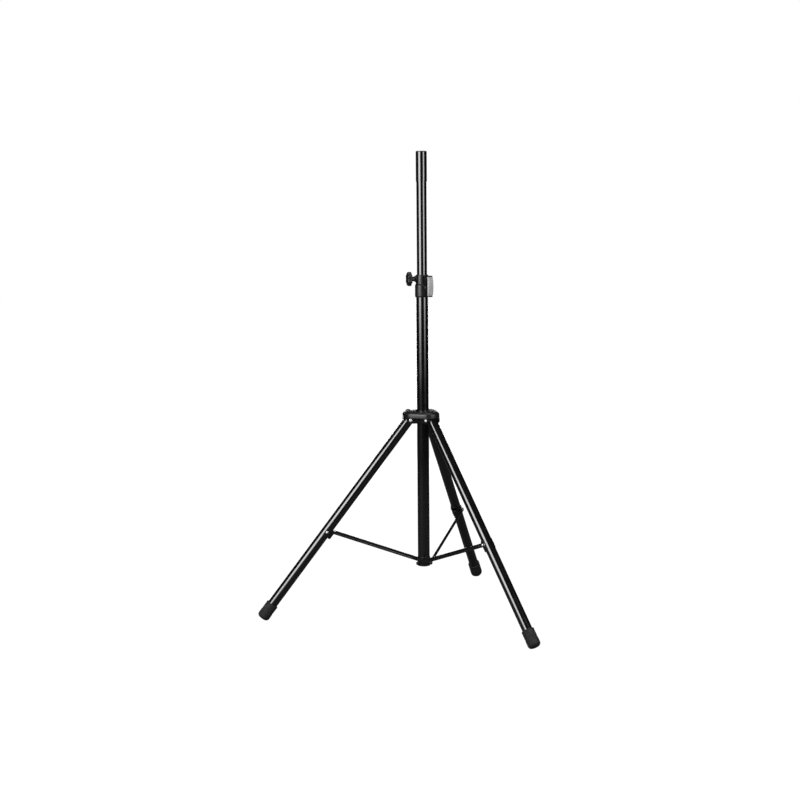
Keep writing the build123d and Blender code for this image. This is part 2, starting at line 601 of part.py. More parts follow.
# ---- braces ---------------------------------------------------------------------------------
for index in range(LEG_COUNT):
    azimuth = leg_azimuth(index)
    middle = (brace_out / 2, (brace_top + brace_foot) / 2)

    with BuildPart() as brace_bar:
        with BuildSketch(upright_plane(azimuth, brace_side)):
            with Locations(Location(middle, brace_slope)):
                SlotCenterToCenter(BRACE_LENGTH, BRACE_HEIGHT)
            with Locations((0, brace_foot)):
                Circle(PIVOT_RADIUS + RUNNING_GAP, mode=Mode.SUBTRACT)
            with Locations((brace_out, brace_top)):
                Circle(RIVET_RADIUS + SEAT_GAP, mode=Mode.SUBTRACT)
        extrude(amount=BRACE_THICKNESS)
        with BuildSketch(upright_plane(azimuth, brace_outside)):
            with Locations(Location(middle, brace_slope)):
                SlotCenterToCenter(BRACE_LENGTH - 2 * BRACE_RIB_END, BRACE_RIB_WIDTH)
        extrude(amount=BRACE_RIB_HEIGHT)
    finish(brace_bar, f"brace_{index + 1}_bar")

    with BuildPart() as brace_rivet:
        rod(across_plane(azimuth, brace_out, brace_top, brace_side),
            RIVET_RADIUS, BRACE_THICKNESS + SEAT_GAP)
        rod(across_plane(azimuth, brace_out, brace_top, brace_outside + SEAT_GAP),
            RIVET_HEAD_RADIUS, RIVET_HEAD_HEIGHT)
    finish(brace_rivet, f"brace_{index + 1}_rivet")


# ---- clamp screw in the housing and lock screw in the hub, each with a shoe and a knob --------
def make_knob_set(prefix, azimuth, height, slide_radius, boss_reach):
    """Build a screw with its shoe and knob, pointing away from the mast at an azimuth."""
    shoe_start = slide_radius + SIDE_GAP / 2
    screw_start = shoe_start + SHOE_LENGTH
    stem_start = boss_reach + SIDE_GAP
    star_start = stem_start + KNOB_STEM

    with BuildPart() as shoe:
        rod(outward_plane(azimuth, height, 0), SHOE_RADIUS, screw_start)
        rod(Plane.XY.offset(height - SHOE_RADIUS), shoe_start, 2 * SHOE_RADIUS, Mode.SUBTRACT)
    finish(shoe, f"{prefix}_shoe")

    with BuildPart() as screw:
        rod(outward_plane(azimuth, height, screw_start + SEAT_GAP), SCREW_RADIUS,
            star_start - screw_start)
    finish(screw, f"{prefix}_screw")

    with BuildPart() as knob:
        rod(outward_plane(azimuth, height, stem_start), KNOB_STEM_RADIUS, KNOB_STEM)
        with BuildSketch(outward_plane(azimuth, height, star_start)):
            Circle(KNOB_BODY_RADIUS)
            with PolarLocations(KNOB_RADIUS - KNOB_LOBE_RADIUS, KNOB_LOBES, 180 / KNOB_LOBES):
                Circle(KNOB_LOBE_RADIUS)
        extrude(amount=KNOB_THICKNESS)
        rod(outward_plane(azimuth, height, stem_start), SCREW_RADIUS + SEAT_GAP,
            KNOB_STEM + 2 * SEAT_GAP, Mode.SUBTRACT)
    finish(knob, f"{prefix}_knob")


make_knob_set("mast_clamp", CLAMP_AZIMUTH, clamp_height, inner_radius, CLAMP_BOSS_REACH)
make_knob_set("hub_lock", LOCK_AZIMUTH, lock_height, outer_radius, LOCK_BOSS_REACH)
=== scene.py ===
"""Dresses a folding loudspeaker stand: enamelled tubes, cast hub, star knobs and rubber boots."""

import logging
import math
from collections.abc import Iterable, Sequence
from dataclasses import dataclass
from enum import Enum

import bmesh
import bpy
from mathutils import Matrix, Vector


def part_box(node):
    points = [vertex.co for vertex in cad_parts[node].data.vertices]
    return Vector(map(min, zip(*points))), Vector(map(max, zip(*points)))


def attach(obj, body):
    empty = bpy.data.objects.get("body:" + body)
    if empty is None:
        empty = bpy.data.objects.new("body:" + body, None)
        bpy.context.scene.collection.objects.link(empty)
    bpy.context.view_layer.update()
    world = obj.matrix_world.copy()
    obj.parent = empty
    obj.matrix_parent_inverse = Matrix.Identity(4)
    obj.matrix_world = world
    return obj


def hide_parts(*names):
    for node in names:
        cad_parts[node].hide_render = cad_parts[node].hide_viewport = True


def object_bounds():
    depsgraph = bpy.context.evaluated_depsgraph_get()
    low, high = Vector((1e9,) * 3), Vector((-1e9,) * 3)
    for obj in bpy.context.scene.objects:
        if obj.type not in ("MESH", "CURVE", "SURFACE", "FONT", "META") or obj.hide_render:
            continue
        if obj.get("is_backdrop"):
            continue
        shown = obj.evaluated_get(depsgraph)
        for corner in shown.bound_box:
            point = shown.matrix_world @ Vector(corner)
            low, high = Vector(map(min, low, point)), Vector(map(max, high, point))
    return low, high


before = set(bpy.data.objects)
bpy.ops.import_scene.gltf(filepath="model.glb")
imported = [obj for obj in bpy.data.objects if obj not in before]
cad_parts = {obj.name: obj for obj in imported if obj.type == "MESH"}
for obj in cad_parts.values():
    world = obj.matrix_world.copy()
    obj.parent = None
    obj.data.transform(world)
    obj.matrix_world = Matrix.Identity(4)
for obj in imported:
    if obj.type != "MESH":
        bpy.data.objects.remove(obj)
log = logging.getLogger("speaker_stand")

MM = 0.001
LEGS = (1, 2, 3)
LEG_SPACING = 120.0
Point = tuple[float, float]
Loop = list[Vector]


class Slot(Enum):
    """The material slots that the finishes belong to."""

    TUBE = "gloss_black_tube"
    CASTING = "black_casting"
    STEEL = "black_steel"
    MOULDING = "black_moulding"
    PLASTIC = "black_plastic"
    KNOB = "knob_plastic"
    RUBBER = "boot_rubber"
    PLATE = "grey_plate"
    NYLON = "nylon"
    BRASS = "brass"
    ZINC = "zinc_steel"


class HeadShape(Enum):
    """What the visible end of a fastener looks like."""

    DOME = "dome"
    SOCKET = "socket"
    NUT = "nut"


# ---- directions in the stand's frame ---------------------------------------------------------


def radial(azimuth: float) -> Vector:
    """Return the level direction away from the mast at an azimuth in degrees."""
    turn = math.radians(azimuth)
    return Vector((math.cos(turn), math.sin(turn), 0.0))


def sideways(azimuth: float) -> Vector:
    """Return the level direction across a leg, towards the side its brace is on."""
    turn = math.radians(azimuth)
    return Vector((math.sin(turn), -math.cos(turn), 0.0))


def leg_azimuth(leg: int) -> float:
    """Return the azimuth of a leg that is counted from 1."""
    return (leg - 1) * LEG_SPACING


def middle(node: str) -> Vector:
    """Return the centre of a node's box."""
    low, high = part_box(node)
    return (Vector(low) + Vector(high)) / 2


# ---- shader groups -------------------------------------------------------------------------------


class Canvas:
    """A node tree with short calls for placing and joining its nodes."""

    def __init__(self, tree: bpy.types.NodeTree) -> None:
        """Take over a tree.

        Args:
            tree: The shader or geometry tree that the calls add to.
        """
        self.tree = tree

    def node(self, kind: str, **settings: object) -> bpy.types.Node:
        """Add a node.

        Args:
            kind: The node's type name.
            **settings: Its own properties, such as operation or mode.

        Returns:
            The new node.
        """
        node = self.tree.nodes.new(kind)
        for key, value in settings.items():
            setattr(node, key, value)
        return node

    def feed(self, socket: bpy.types.NodeSocket, source: object) -> None:
        """Join a socket to another one, or set its value.

        Args:
            socket: The input to fill.
            source: An output socket, or a plain value.
        """
        if isinstance(source, bpy.types.NodeSocket):
            self.tree.links.new(source, socket)
        else:
            socket.default_value = source

    def math(self, operation: str, *values: object, clamp: bool = False) -> bpy.types.NodeSocket:
        """Add a Math node and return its result."""
        node = self.node("ShaderNodeMath", operation=operation, use_clamp=clamp)
        for socket, value in zip(node.inputs, values):
            self.feed(socket, value)
        return node.outputs[0]

    def noise(self, vector: object, scale: object, detail: float = 2.0) -> bpy.types.NodeSocket:
        """Add a 3-D noise and return its height."""
        node = self.node("ShaderNodeTexNoise")
        self.feed(node.inputs["Vector"], vector)
        self.feed(node.inputs["Scale"], scale)
        self.feed(node.inputs["Detail"], detail)
        return node.outputs[0]

    def spread(self, value: object, low: object, high: object) -> bpy.types.NodeSocket:
        """Stretch a value so that low becomes 0 and high becomes 1."""
        node = self.node("ShaderNodeMapRange", interpolation_type="SMOOTHSTEP")
        self.feed(node.inputs["Value"], value)
        self.feed(node.inputs["From Min"], low)
        self.feed(node.inputs["From Max"], high)
        return node.outputs["Result"]

    def between(self, mask: object, first: object, second: object) -> bpy.types.NodeSocket:
        """Mix two plain values by a mask and return the result."""
        node = self.node("ShaderNodeMix", data_type="FLOAT")
        self.feed(node.inputs[0], mask)
        self.feed(node.inputs[2], first)
        self.feed(node.inputs[3], second)
        return node.outputs[0]

    def tint(self, mask: object, first: object, second: object) -> bpy.types.NodeSocket:
        """Mix two colours by a mask and return the result."""
        node = self.node("ShaderNodeMix", data_type="RGBA")
        self.feed(node.inputs[0], mask)
        self.feed(node.inputs[6], first)
        self.feed(node.inputs[7], second)
        return node.outputs[2]


class SurfaceEffects:
    """The shader groups that several finishes share, each built once."""

    def __init__(self) -> None:
        """Build the three groups."""
        self.grain = self._grain()
        self.scratches = self._scratches()
        self.dust = self._dust()

    @staticmethod
    def _start(name: str, inputs: dict[str, float], outputs: Iterable[str]
               ) -> tuple[Canvas, bpy.types.Node, bpy.types.Node]:
        """Make an empty group with its sockets.

        Args:
            name: The group's name.
            inputs: The plain number inputs and their defaults. A Vector input comes first.
            outputs: The names of the number outputs.

        Returns:
            The canvas, the group's input node and its output node.
        """
        tree = bpy.data.node_groups.new(name, "ShaderNodeTree")
        tree.interface.new_socket("Vector", in_out="INPUT", socket_type="NodeSocketVector")
        for label, value in inputs.items():
            socket = tree.interface.new_socket(label, in_out="INPUT", socket_type="NodeSocketFloat")
            socket.default_value = value
        for label in outputs:
            tree.interface.new_socket(label, in_out="OUTPUT", socket_type="NodeSocketFloat")
        canvas = Canvas(tree)
        return canvas, canvas.node("NodeGroupInput"), canvas.node("NodeGroupOutput")

    def _grain(self) -> bpy.types.NodeTree:
        """Build the group for a fine moulded or sprayed grain with slow patches over it."""
        canvas, given, out = self._start(
            "surface_grain", {"Fine Scale": 900.0, "Patch Scale": 14.0}, ("Height", "Patches"))
        fine = canvas.noise(given.outputs["Vector"], given.outputs["Fine Scale"], 3.0)
        patches = canvas.noise(given.outputs["Vector"], given.outputs["Patch Scale"], 4.0)
        canvas.feed(out.inputs["Height"], fine)
        canvas.feed(out.inputs["Patches"], canvas.spread(patches, 0.32, 0.68))
        return canvas.tree

    def _scratches(self) -> bpy.types.NodeTree:
        """Build the group for thin scratches and small rubbed spots."""
        canvas, given, out = self._start(
            "rubbed_scratches", {"Scale": 60.0, "Line Width": 0.006, "Spots": 0.1}, ("Mask",))
        stretch = canvas.node("ShaderNodeVectorMath", operation="MULTIPLY")
        canvas.feed(stretch.inputs[0], given.outputs["Vector"])
        stretch.inputs[1].default_value = (1.0, 1.0, 0.07)
        lines = canvas.noise(stretch.outputs[0], given.outputs["Scale"], 1.0)
        off_line = canvas.math("ABSOLUTE", canvas.math("SUBTRACT", lines, 0.5))
        thin = canvas.math("SUBTRACT", 1.0, canvas.spread(off_line, 0.0, given.outputs["Line Width"]))
        gate = canvas.spread(canvas.noise(given.outputs["Vector"], 23.0, 2.0), 0.56, 0.7)
        scratch = canvas.math("MULTIPLY", thin, gate)
        specks = canvas.noise(given.outputs["Vector"], 310.0, 2.0)
        spot_gate = canvas.noise(given.outputs["Vector"], 9.0, 2.0)
        level = canvas.math("SUBTRACT", 0.86, canvas.math("MULTIPLY", spot_gate, given.outputs["Spots"]))
        spots = canvas.spread(specks, level, canvas.math("ADD", level, 0.03))
        canvas.feed(out.inputs["Mask"], canvas.math("MAXIMUM", scratch, spots, clamp=True))
        return canvas.tree

    def _dust(self) -> bpy.types.NodeTree:
        """Build the group for dust that has settled on faces that look up."""
        canvas, given, out = self._start("settled_dust", {"Amount": 0.2}, ("Mask",))
        geometry = canvas.node("ShaderNodeNewGeometry")
        parts = canvas.node("ShaderNodeSeparateXYZ")
        canvas.feed(parts.inputs[0], geometry.outputs["Normal"])
        upward = canvas.spread(parts.outputs["Z"], 0.25, 1.0)
        clumps = canvas.spread(canvas.noise(given.outputs["Vector"], 70.0, 5.0), 0.35, 0.75)
        cover = canvas.math("MULTIPLY", upward, clumps)
        canvas.feed(out.inputs["Mask"], canvas.math("MULTIPLY", cover, given.outputs["Amount"], clamp=True))
        return canvas.tree


# ---- finishes ------------------------------------------------------------------------------------


@dataclass(frozen=True)
class Finish:
    """How one kind of surface looks.

    Colours are linear, lengths in the patterns are per metre, and depths are in metres.
    """

    name: str
    slot: Slot
    colour: tuple[float, float, float]
    worn_colour: tuple[float, float, float]
    roughness: float
    patch_roughness: float
    fine_scale: float
    grain_depth: float
    patch_scale: float = 14.0
    patch_colour: float = 0.25
    metallic: float = 0.0
    coat: float = 0.0
    coat_roughness: float = 0.05
    specular: float = 0.5
    scratch_scale: float = 60.0
    line_width: float = 0.006
    spots: float = 0.1
    wear: float = 0.5
    dust: float = 0.1
    dust_colour: tuple[float, float, float] = (0.20, 0.19, 0.175)

    def dress(self, effects: SurfaceEffects, lean: float = 0.0, azimuth: float = 0.0) -> bpy.types.Material:
        """Build the finish as a material.

        Args:
            effects: The shared shader groups.
            lean: How far from the vertical the piece's long axis leans, in degrees.
            azimuth: Which way it leans, in degrees.

        Returns:
            The material.
        """
        label = self.name if not lean else f"{self.name}_at_{azimuth:.0f}"
        material = bpy.data.materials.new(label)
        material.use_nodes = True
        canvas = Canvas(material.node_tree)
        shader = next(n for n in material.node_tree.nodes if n.type == "BSDF_PRINCIPLED")
        place = canvas.node("ShaderNodeTexCoord")
        turned = canvas.node("ShaderNodeMapping")
        canvas.feed(turned.inputs["Vector"], place.outputs["Object"])
        upright = Matrix.Rotation(math.radians(lean), 3, sideways(azimuth)).to_euler()
        turned.inputs["Rotation"].default_value = upright
        vector = turned.outputs["Vector"]

        grain = self._place(canvas, effects.grain, vector, {
            "Fine Scale": self.fine_scale, "Patch Scale": self.patch_scale})
        marks = self._place(canvas, effects.scratches, vector, {
            "Scale": self.scratch_scale, "Line Width": self.line_width, "Spots": self.spots})
        dust = self._place(canvas, effects.dust, vector, {"Amount": self.dust})

        patches = grain.outputs["Patches"]
        worn = canvas.math("MULTIPLY", marks.outputs["Mask"], self.wear)
        dusty = dust.outputs["Mask"]
        darker = tuple(c * (1.0 - self.patch_colour) for c in self.colour) + (1.0,)
        base = canvas.tint(patches, darker, self.colour + (1.0,))
        rubbed = canvas.tint(worn, base, self.worn_colour + (1.0,))
        canvas.feed(shader.inputs["Base Color"], canvas.tint(dusty, rubbed, self.dust_colour + (1.0,)))
        rough = canvas.between(patches, self.roughness, self.patch_roughness)
        rough = canvas.between(worn, rough, min(1.0, self.roughness + 0.25))
        canvas.feed(shader.inputs["Roughness"], canvas.between(dusty, rough, 0.9))
        shader.inputs["Metallic"].default_value = self.metallic
        shader.inputs["Specular IOR Level"].default_value = self.specular
        if self.coat:
            cover = canvas.math("SUBTRACT", 1.0, canvas.math("MAXIMUM", worn, dusty), clamp=True)
            canvas.feed(shader.inputs["Coat Weight"], canvas.math("MULTIPLY", cover, self.coat))
            shader.inputs["Coat Roughness"].default_value = self.coat_roughness
        bump = canvas.node("ShaderNodeBump")
        bump.inputs["Strength"].default_value = 1.0
        bump.inputs["Distance"].default_value = self.grain_depth
        relief = canvas.math("SUBTRACT", grain.outputs["Height"], worn)
        canvas.feed(bump.inputs["Height"], relief)
        canvas.feed(shader.inputs["Normal"], bump.outputs["Normal"])
        return material

    @staticmethod
    def _place(canvas: Canvas, group: bpy.types.NodeTree, vector: bpy.types.NodeSocket,
               values: dict[str, float]) -> bpy.types.Node:
        """Place a shared group in a material.

        Args:
            canvas: The material's tree.
            group: The shared group.
            vector: Where the pattern is read.
            values: The group's own numbers by input name.

        Returns:
            The group's node.
        """
        node = canvas.node("ShaderNodeGroup")
        node.node_tree = group
        canvas.feed(node.inputs["Vector"], vector)
        for label, value in values.items():
            node.inputs[label].default_value = value
        return node


BLACK_ENAMEL = Finish(
    "black_stove_enamel", Slot.TUBE, (0.0040, 0.0040, 0.0043), (0.035, 0.035, 0.036),
    roughness=0.14, patch_roughness=0.19, fine_scale=420.0, grain_depth=0.000006,
    coat=0.6, coat_roughness=0.05, wear=0.3, dust=0.04)
PRESSED_STEEL = Finish(
    "painted_pressed_steel", Slot.STEEL, (0.0045, 0.0045, 0.0048), (0.07, 0.07, 0.072),
    roughness=0.24, patch_roughness=0.34, fine_scale=500.0, grain_depth=0.00002,
    coat=0.3, coat_roughness=0.12, wear=0.5, spots=0.16, dust=0.08)
SATIN_CASTING = Finish(
    "satin_painted_casting", Slot.CASTING, (0.0045, 0.0045, 0.0048), (0.06, 0.06, 0.062),
    roughness=0.30, patch_roughness=0.42, fine_scale=1100.0, grain_depth=0.00004,
    wear=0.5, spots=0.14, dust=0.1)
HUB_MOULDING = Finish(
    "hub_cap_moulding", Slot.MOULDING, (0.008, 0.008, 0.0083), (0.035, 0.035, 0.035),
    roughness=0.34, patch_roughness=0.42, fine_scale=1500.0, grain_depth=0.00003,
    wear=0.4, dust=0.14)
FINE_PLASTIC = Finish(
    "fine_grained_plastic", Slot.PLASTIC, (0.012, 0.012, 0.012), (0.03, 0.03, 0.03),
    roughness=0.48, patch_roughness=0.56, fine_scale=1700.0, grain_depth=0.00005,
    wear=0.3, dust=0.12)
KNOB_PLASTIC = Finish(
    "knob_moulding", Slot.KNOB, (0.0045, 0.0045, 0.0046), (0.03, 0.03, 0.03),
    roughness=0.42, patch_roughness=0.52, fine_scale=1600.0, grain_depth=0.00006,
    wear=0.5, spots=0.12, dust=0.12)
BOOT_RUBBER = Finish(
    "boot_rubber", Slot.RUBBER, (0.0075, 0.0075, 0.0078), (0.035, 0.034, 0.032),
    roughness=0.72, patch_roughness=0.84, fine_scale=1300.0, grain_depth=0.00010,
    patch_scale=40.0, patch_colour=0.35, wear=0.6, scratch_scale=90.0, line_width=0.012,
    dust=0.28)
GREY_PLATE = Finish(
    "grey_plate_moulding", Slot.PLATE, (0.47, 0.47, 0.467), (0.28, 0.28, 0.277),
    roughness=0.40, patch_roughness=0.5, fine_scale=1600.0, grain_depth=0.00003,
    patch_scale=60.0, patch_colour=0.16, wear=0.35, dust=0.05)
DARK_NYLON = Finish(
    "dark_nylon", Slot.NYLON, (0.02, 0.02, 0.02), (0.05, 0.05, 0.05),
    roughness=0.5, patch_roughness=0.6, fine_scale=1200.0, grain_depth=0.00003, wear=0.4)
TURNED_BRASS = Finish(
    "turned_brass", Slot.BRASS, (0.60, 0.42, 0.17), (0.30, 0.2, 0.09),
    roughness=0.28, patch_roughness=0.4, fine_scale=900.0, grain_depth=0.00002,
    metallic=1.0, patch_colour=0.2, wear=0.4)
BRIGHT_ZINC = Finish(
    "bright_zinc_plate", Slot.ZINC, (0.97, 0.97, 0.97), (0.55, 0.54, 0.53),
    roughness=0.46, patch_roughness=0.56, fine_scale=1400.0, grain_depth=0.00002,
    metallic=1.0, patch_scale=120.0, patch_colour=0.15, wear=0.4, spots=0.2)
BLACKENED_STEEL = Finish(
    "blackened_steel", Slot.ZINC, (0.03, 0.03, 0.031), (0.20, 0.20, 0.2),
    roughness=0.34, patch_roughness=0.46, fine_scale=1200.0, grain_depth=0.00002,
    patch_scale=90.0, wear=0.5, spots=0.2)


class PaintShop:
    """Every finish as a ready material, and the dressing of pieces with them."""

    def __init__(self, leg_lean: float) -> None:
        """Mix the finishes.

        Args:
            leg_lean: How far the legs lean from the vertical, in degrees.
        """
        self.effects = SurfaceEffects()
        self.leg_lean = leg_lean
        self._made: dict[tuple[str, float], bpy.types.Material] = {}

    def material(self, finish: Finish, leg: int | None = None) -> bpy.types.Material:
        """Return a finish's material, turned along a leg where one is named.

        Args:
            finish: The finish.
            leg: The leg that the piece lies along, or None for one that stands upright.

        Returns:
            The material, built the first time it is asked for.
        """
        key = (finish.name, leg_azimuth(leg) if leg else -1.0)
        if key not in self._made:
            if leg:
                self._made[key] = finish.dress(self.effects, self.leg_lean, leg_azimuth(leg))
            else:
                self._made[key] = finish.dress(self.effects)
        return self._made[key]

    def paint_node(self, node: str, finish: Finish, leg: int | None = None) -> None:
        """Give a node that stays its finish."""
        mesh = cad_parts[node].data
        mesh.materials.clear()
        mesh.materials.append(self.material(finish, leg))

    def paint(self, piece: bpy.types.Object, finish: Finish, leg: int | None = None) -> None:
        """Give a built piece its finish."""
        piece.data.materials.clear()
        piece.data.materials.append(self.material(finish, leg))


# ---- mesh making ---------------------------------------------------------------------------------


class Workbench:
    """Makes closed meshes from loops, and puts them in the scene."""

    @staticmethod
    def piece(name: str, shape: bmesh.types.BMesh, smooth_angle: float = 35.0) -> bpy.types.Object:
        """Turn a bmesh into a piece with its normals outwards.

        Args:
            name: The piece's name.
            shape: The finished bmesh, which is freed.
            smooth_angle: Edges sharper than this many degrees stay crisp.

        Returns:
            The new object.
        """
        bmesh.ops.remove_doubles(shape, verts=shape.verts, dist=1e-6)
        bmesh.ops.recalc_face_normals(shape, faces=shape.faces)
        for face in shape.faces:
            face.smooth = True
        for edge in shape.edges:
            if len(edge.link_faces) == 2:
                edge.smooth = edge.calc_face_angle(0.0) < math.radians(smooth_angle)
        mesh = bpy.data.meshes.new(name)
        shape.to_mesh(mesh)
        shape.free()
        made = bpy.data.objects.new(name, mesh)
        bpy.context.collection.objects.link(made)
        return made

    @staticmethod
    def skin(shape: bmesh.types.BMesh, loops: Sequence[Loop], capped: bool = True) -> None:
        """Add a surface through loops of equal length.

        Args:
            shape: The bmesh to add to.
            loops: The loops in order, each a ring of points.
            capped: Whether the first and last loops are closed with a face.
        """
        rings = [[shape.verts.new(point) for point in loop] for loop in loops]
        for first, second in zip(rings, rings[1:]):
            for index, vertex in enumerate(first):
                following = (index + 1) % len(first)
                shape.faces.new((vertex, first[following], second[following], second[index]))
        if capped:
            shape.faces.new(rings[0])
            shape.faces.new(rings[-1])

    @staticmethod
    def lathe(shape: bmesh.types.BMesh, profile: Sequence[Point], origin: Vector, axis: Vector,
              segments: int = 96) -> None:
        """Add a turned surface.

        Args:
            shape: The bmesh to add to.
            profile: Points as (radius, distance along the axis), in metres.
            origin: The point the distances are counted from.
            axis: The direction of the axis.
            segments: How many faces go round.
        """
        turn = axis.normalized().to_track_quat("Z", "Y").to_matrix()
        loops = []
        for radius, along in profile:
            ring = []
            for step in range(segments):
                angle = math.tau * step / segments
                ring.append(origin + turn @ Vector(
                    (radius * math.cos(angle), radius * math.sin(angle), along)))
            loops.append(ring)
        Workbench.skin(shape, loops)

    @staticmethod
    def rounded(profile: Sequence[tuple[float, float, float]], steps: int = 5) -> list[Point]:
        """Round the corners of an open profile.

        Args:
            profile: Corners as (radius, along, rounding), all in metres.
            steps: Points in each rounded corner.

        Returns:
            The profile's points with the corners rounded.
        """
        points: list[Point] = []
        for index, (radius, along, rounding) in enumerate(profile):
            corner = Vector((radius, along))
            if rounding <= 0 or index in (0, len(profile) - 1):
                points.append((radius, along))
                continue
            before = Vector(profile[index - 1][:2]) - corner
            after = Vector(profile[index + 1][:2]) - corner
            reach = min(rounding, before.length * 0.49, after.length * 0.49)
            first = corner + before.normalized() * reach
            last = corner + after.normalized() * reach
            for step in range(steps + 1):
                part = step / steps
                bend = first * (1 - part) ** 2 + corner * (2 * part * (1 - part)) + last * part ** 2
                points.append((bend.x, bend.y))
        return points


# ---- fasteners by Geometry Nodes -----------------------------------------------------------------


@dataclass(frozen=True)
class Head:
    """One visible fastener end: where it sits and which way it faces."""

    seat: Vector
    outward: Vector


@dataclass(frozen=True)
class Shank:
    """The plain part of a bolt or rivet under its head, and a washer or spacer on it."""

    radius: float
    length: float
    collar_radius: float = 0.0
    collar_start: float = 0.0
    collar_end: float = 0.0

    def profile(self) -> list[Point]:
        """Return the turned profile, counted from the seat of the head inwards."""
        tip = self.length
        points = [(self.radius, -0.3 * MM)]
        if self.collar_radius:
            points += [(self.radius, self.collar_start), (self.collar_radius - 0.2 * MM, self.collar_start),
                       (self.collar_radius, self.collar_start + 0.2 * MM),
                       (self.collar_radius, self.collar_end - 0.2 * MM),
                       (self.collar_radius - 0.2 * MM, self.collar_end), (self.radius, self.collar_end)]
        return points + [(self.radius, tip - 0.5 * MM), (self.radius - 0.5 * MM, tip)]


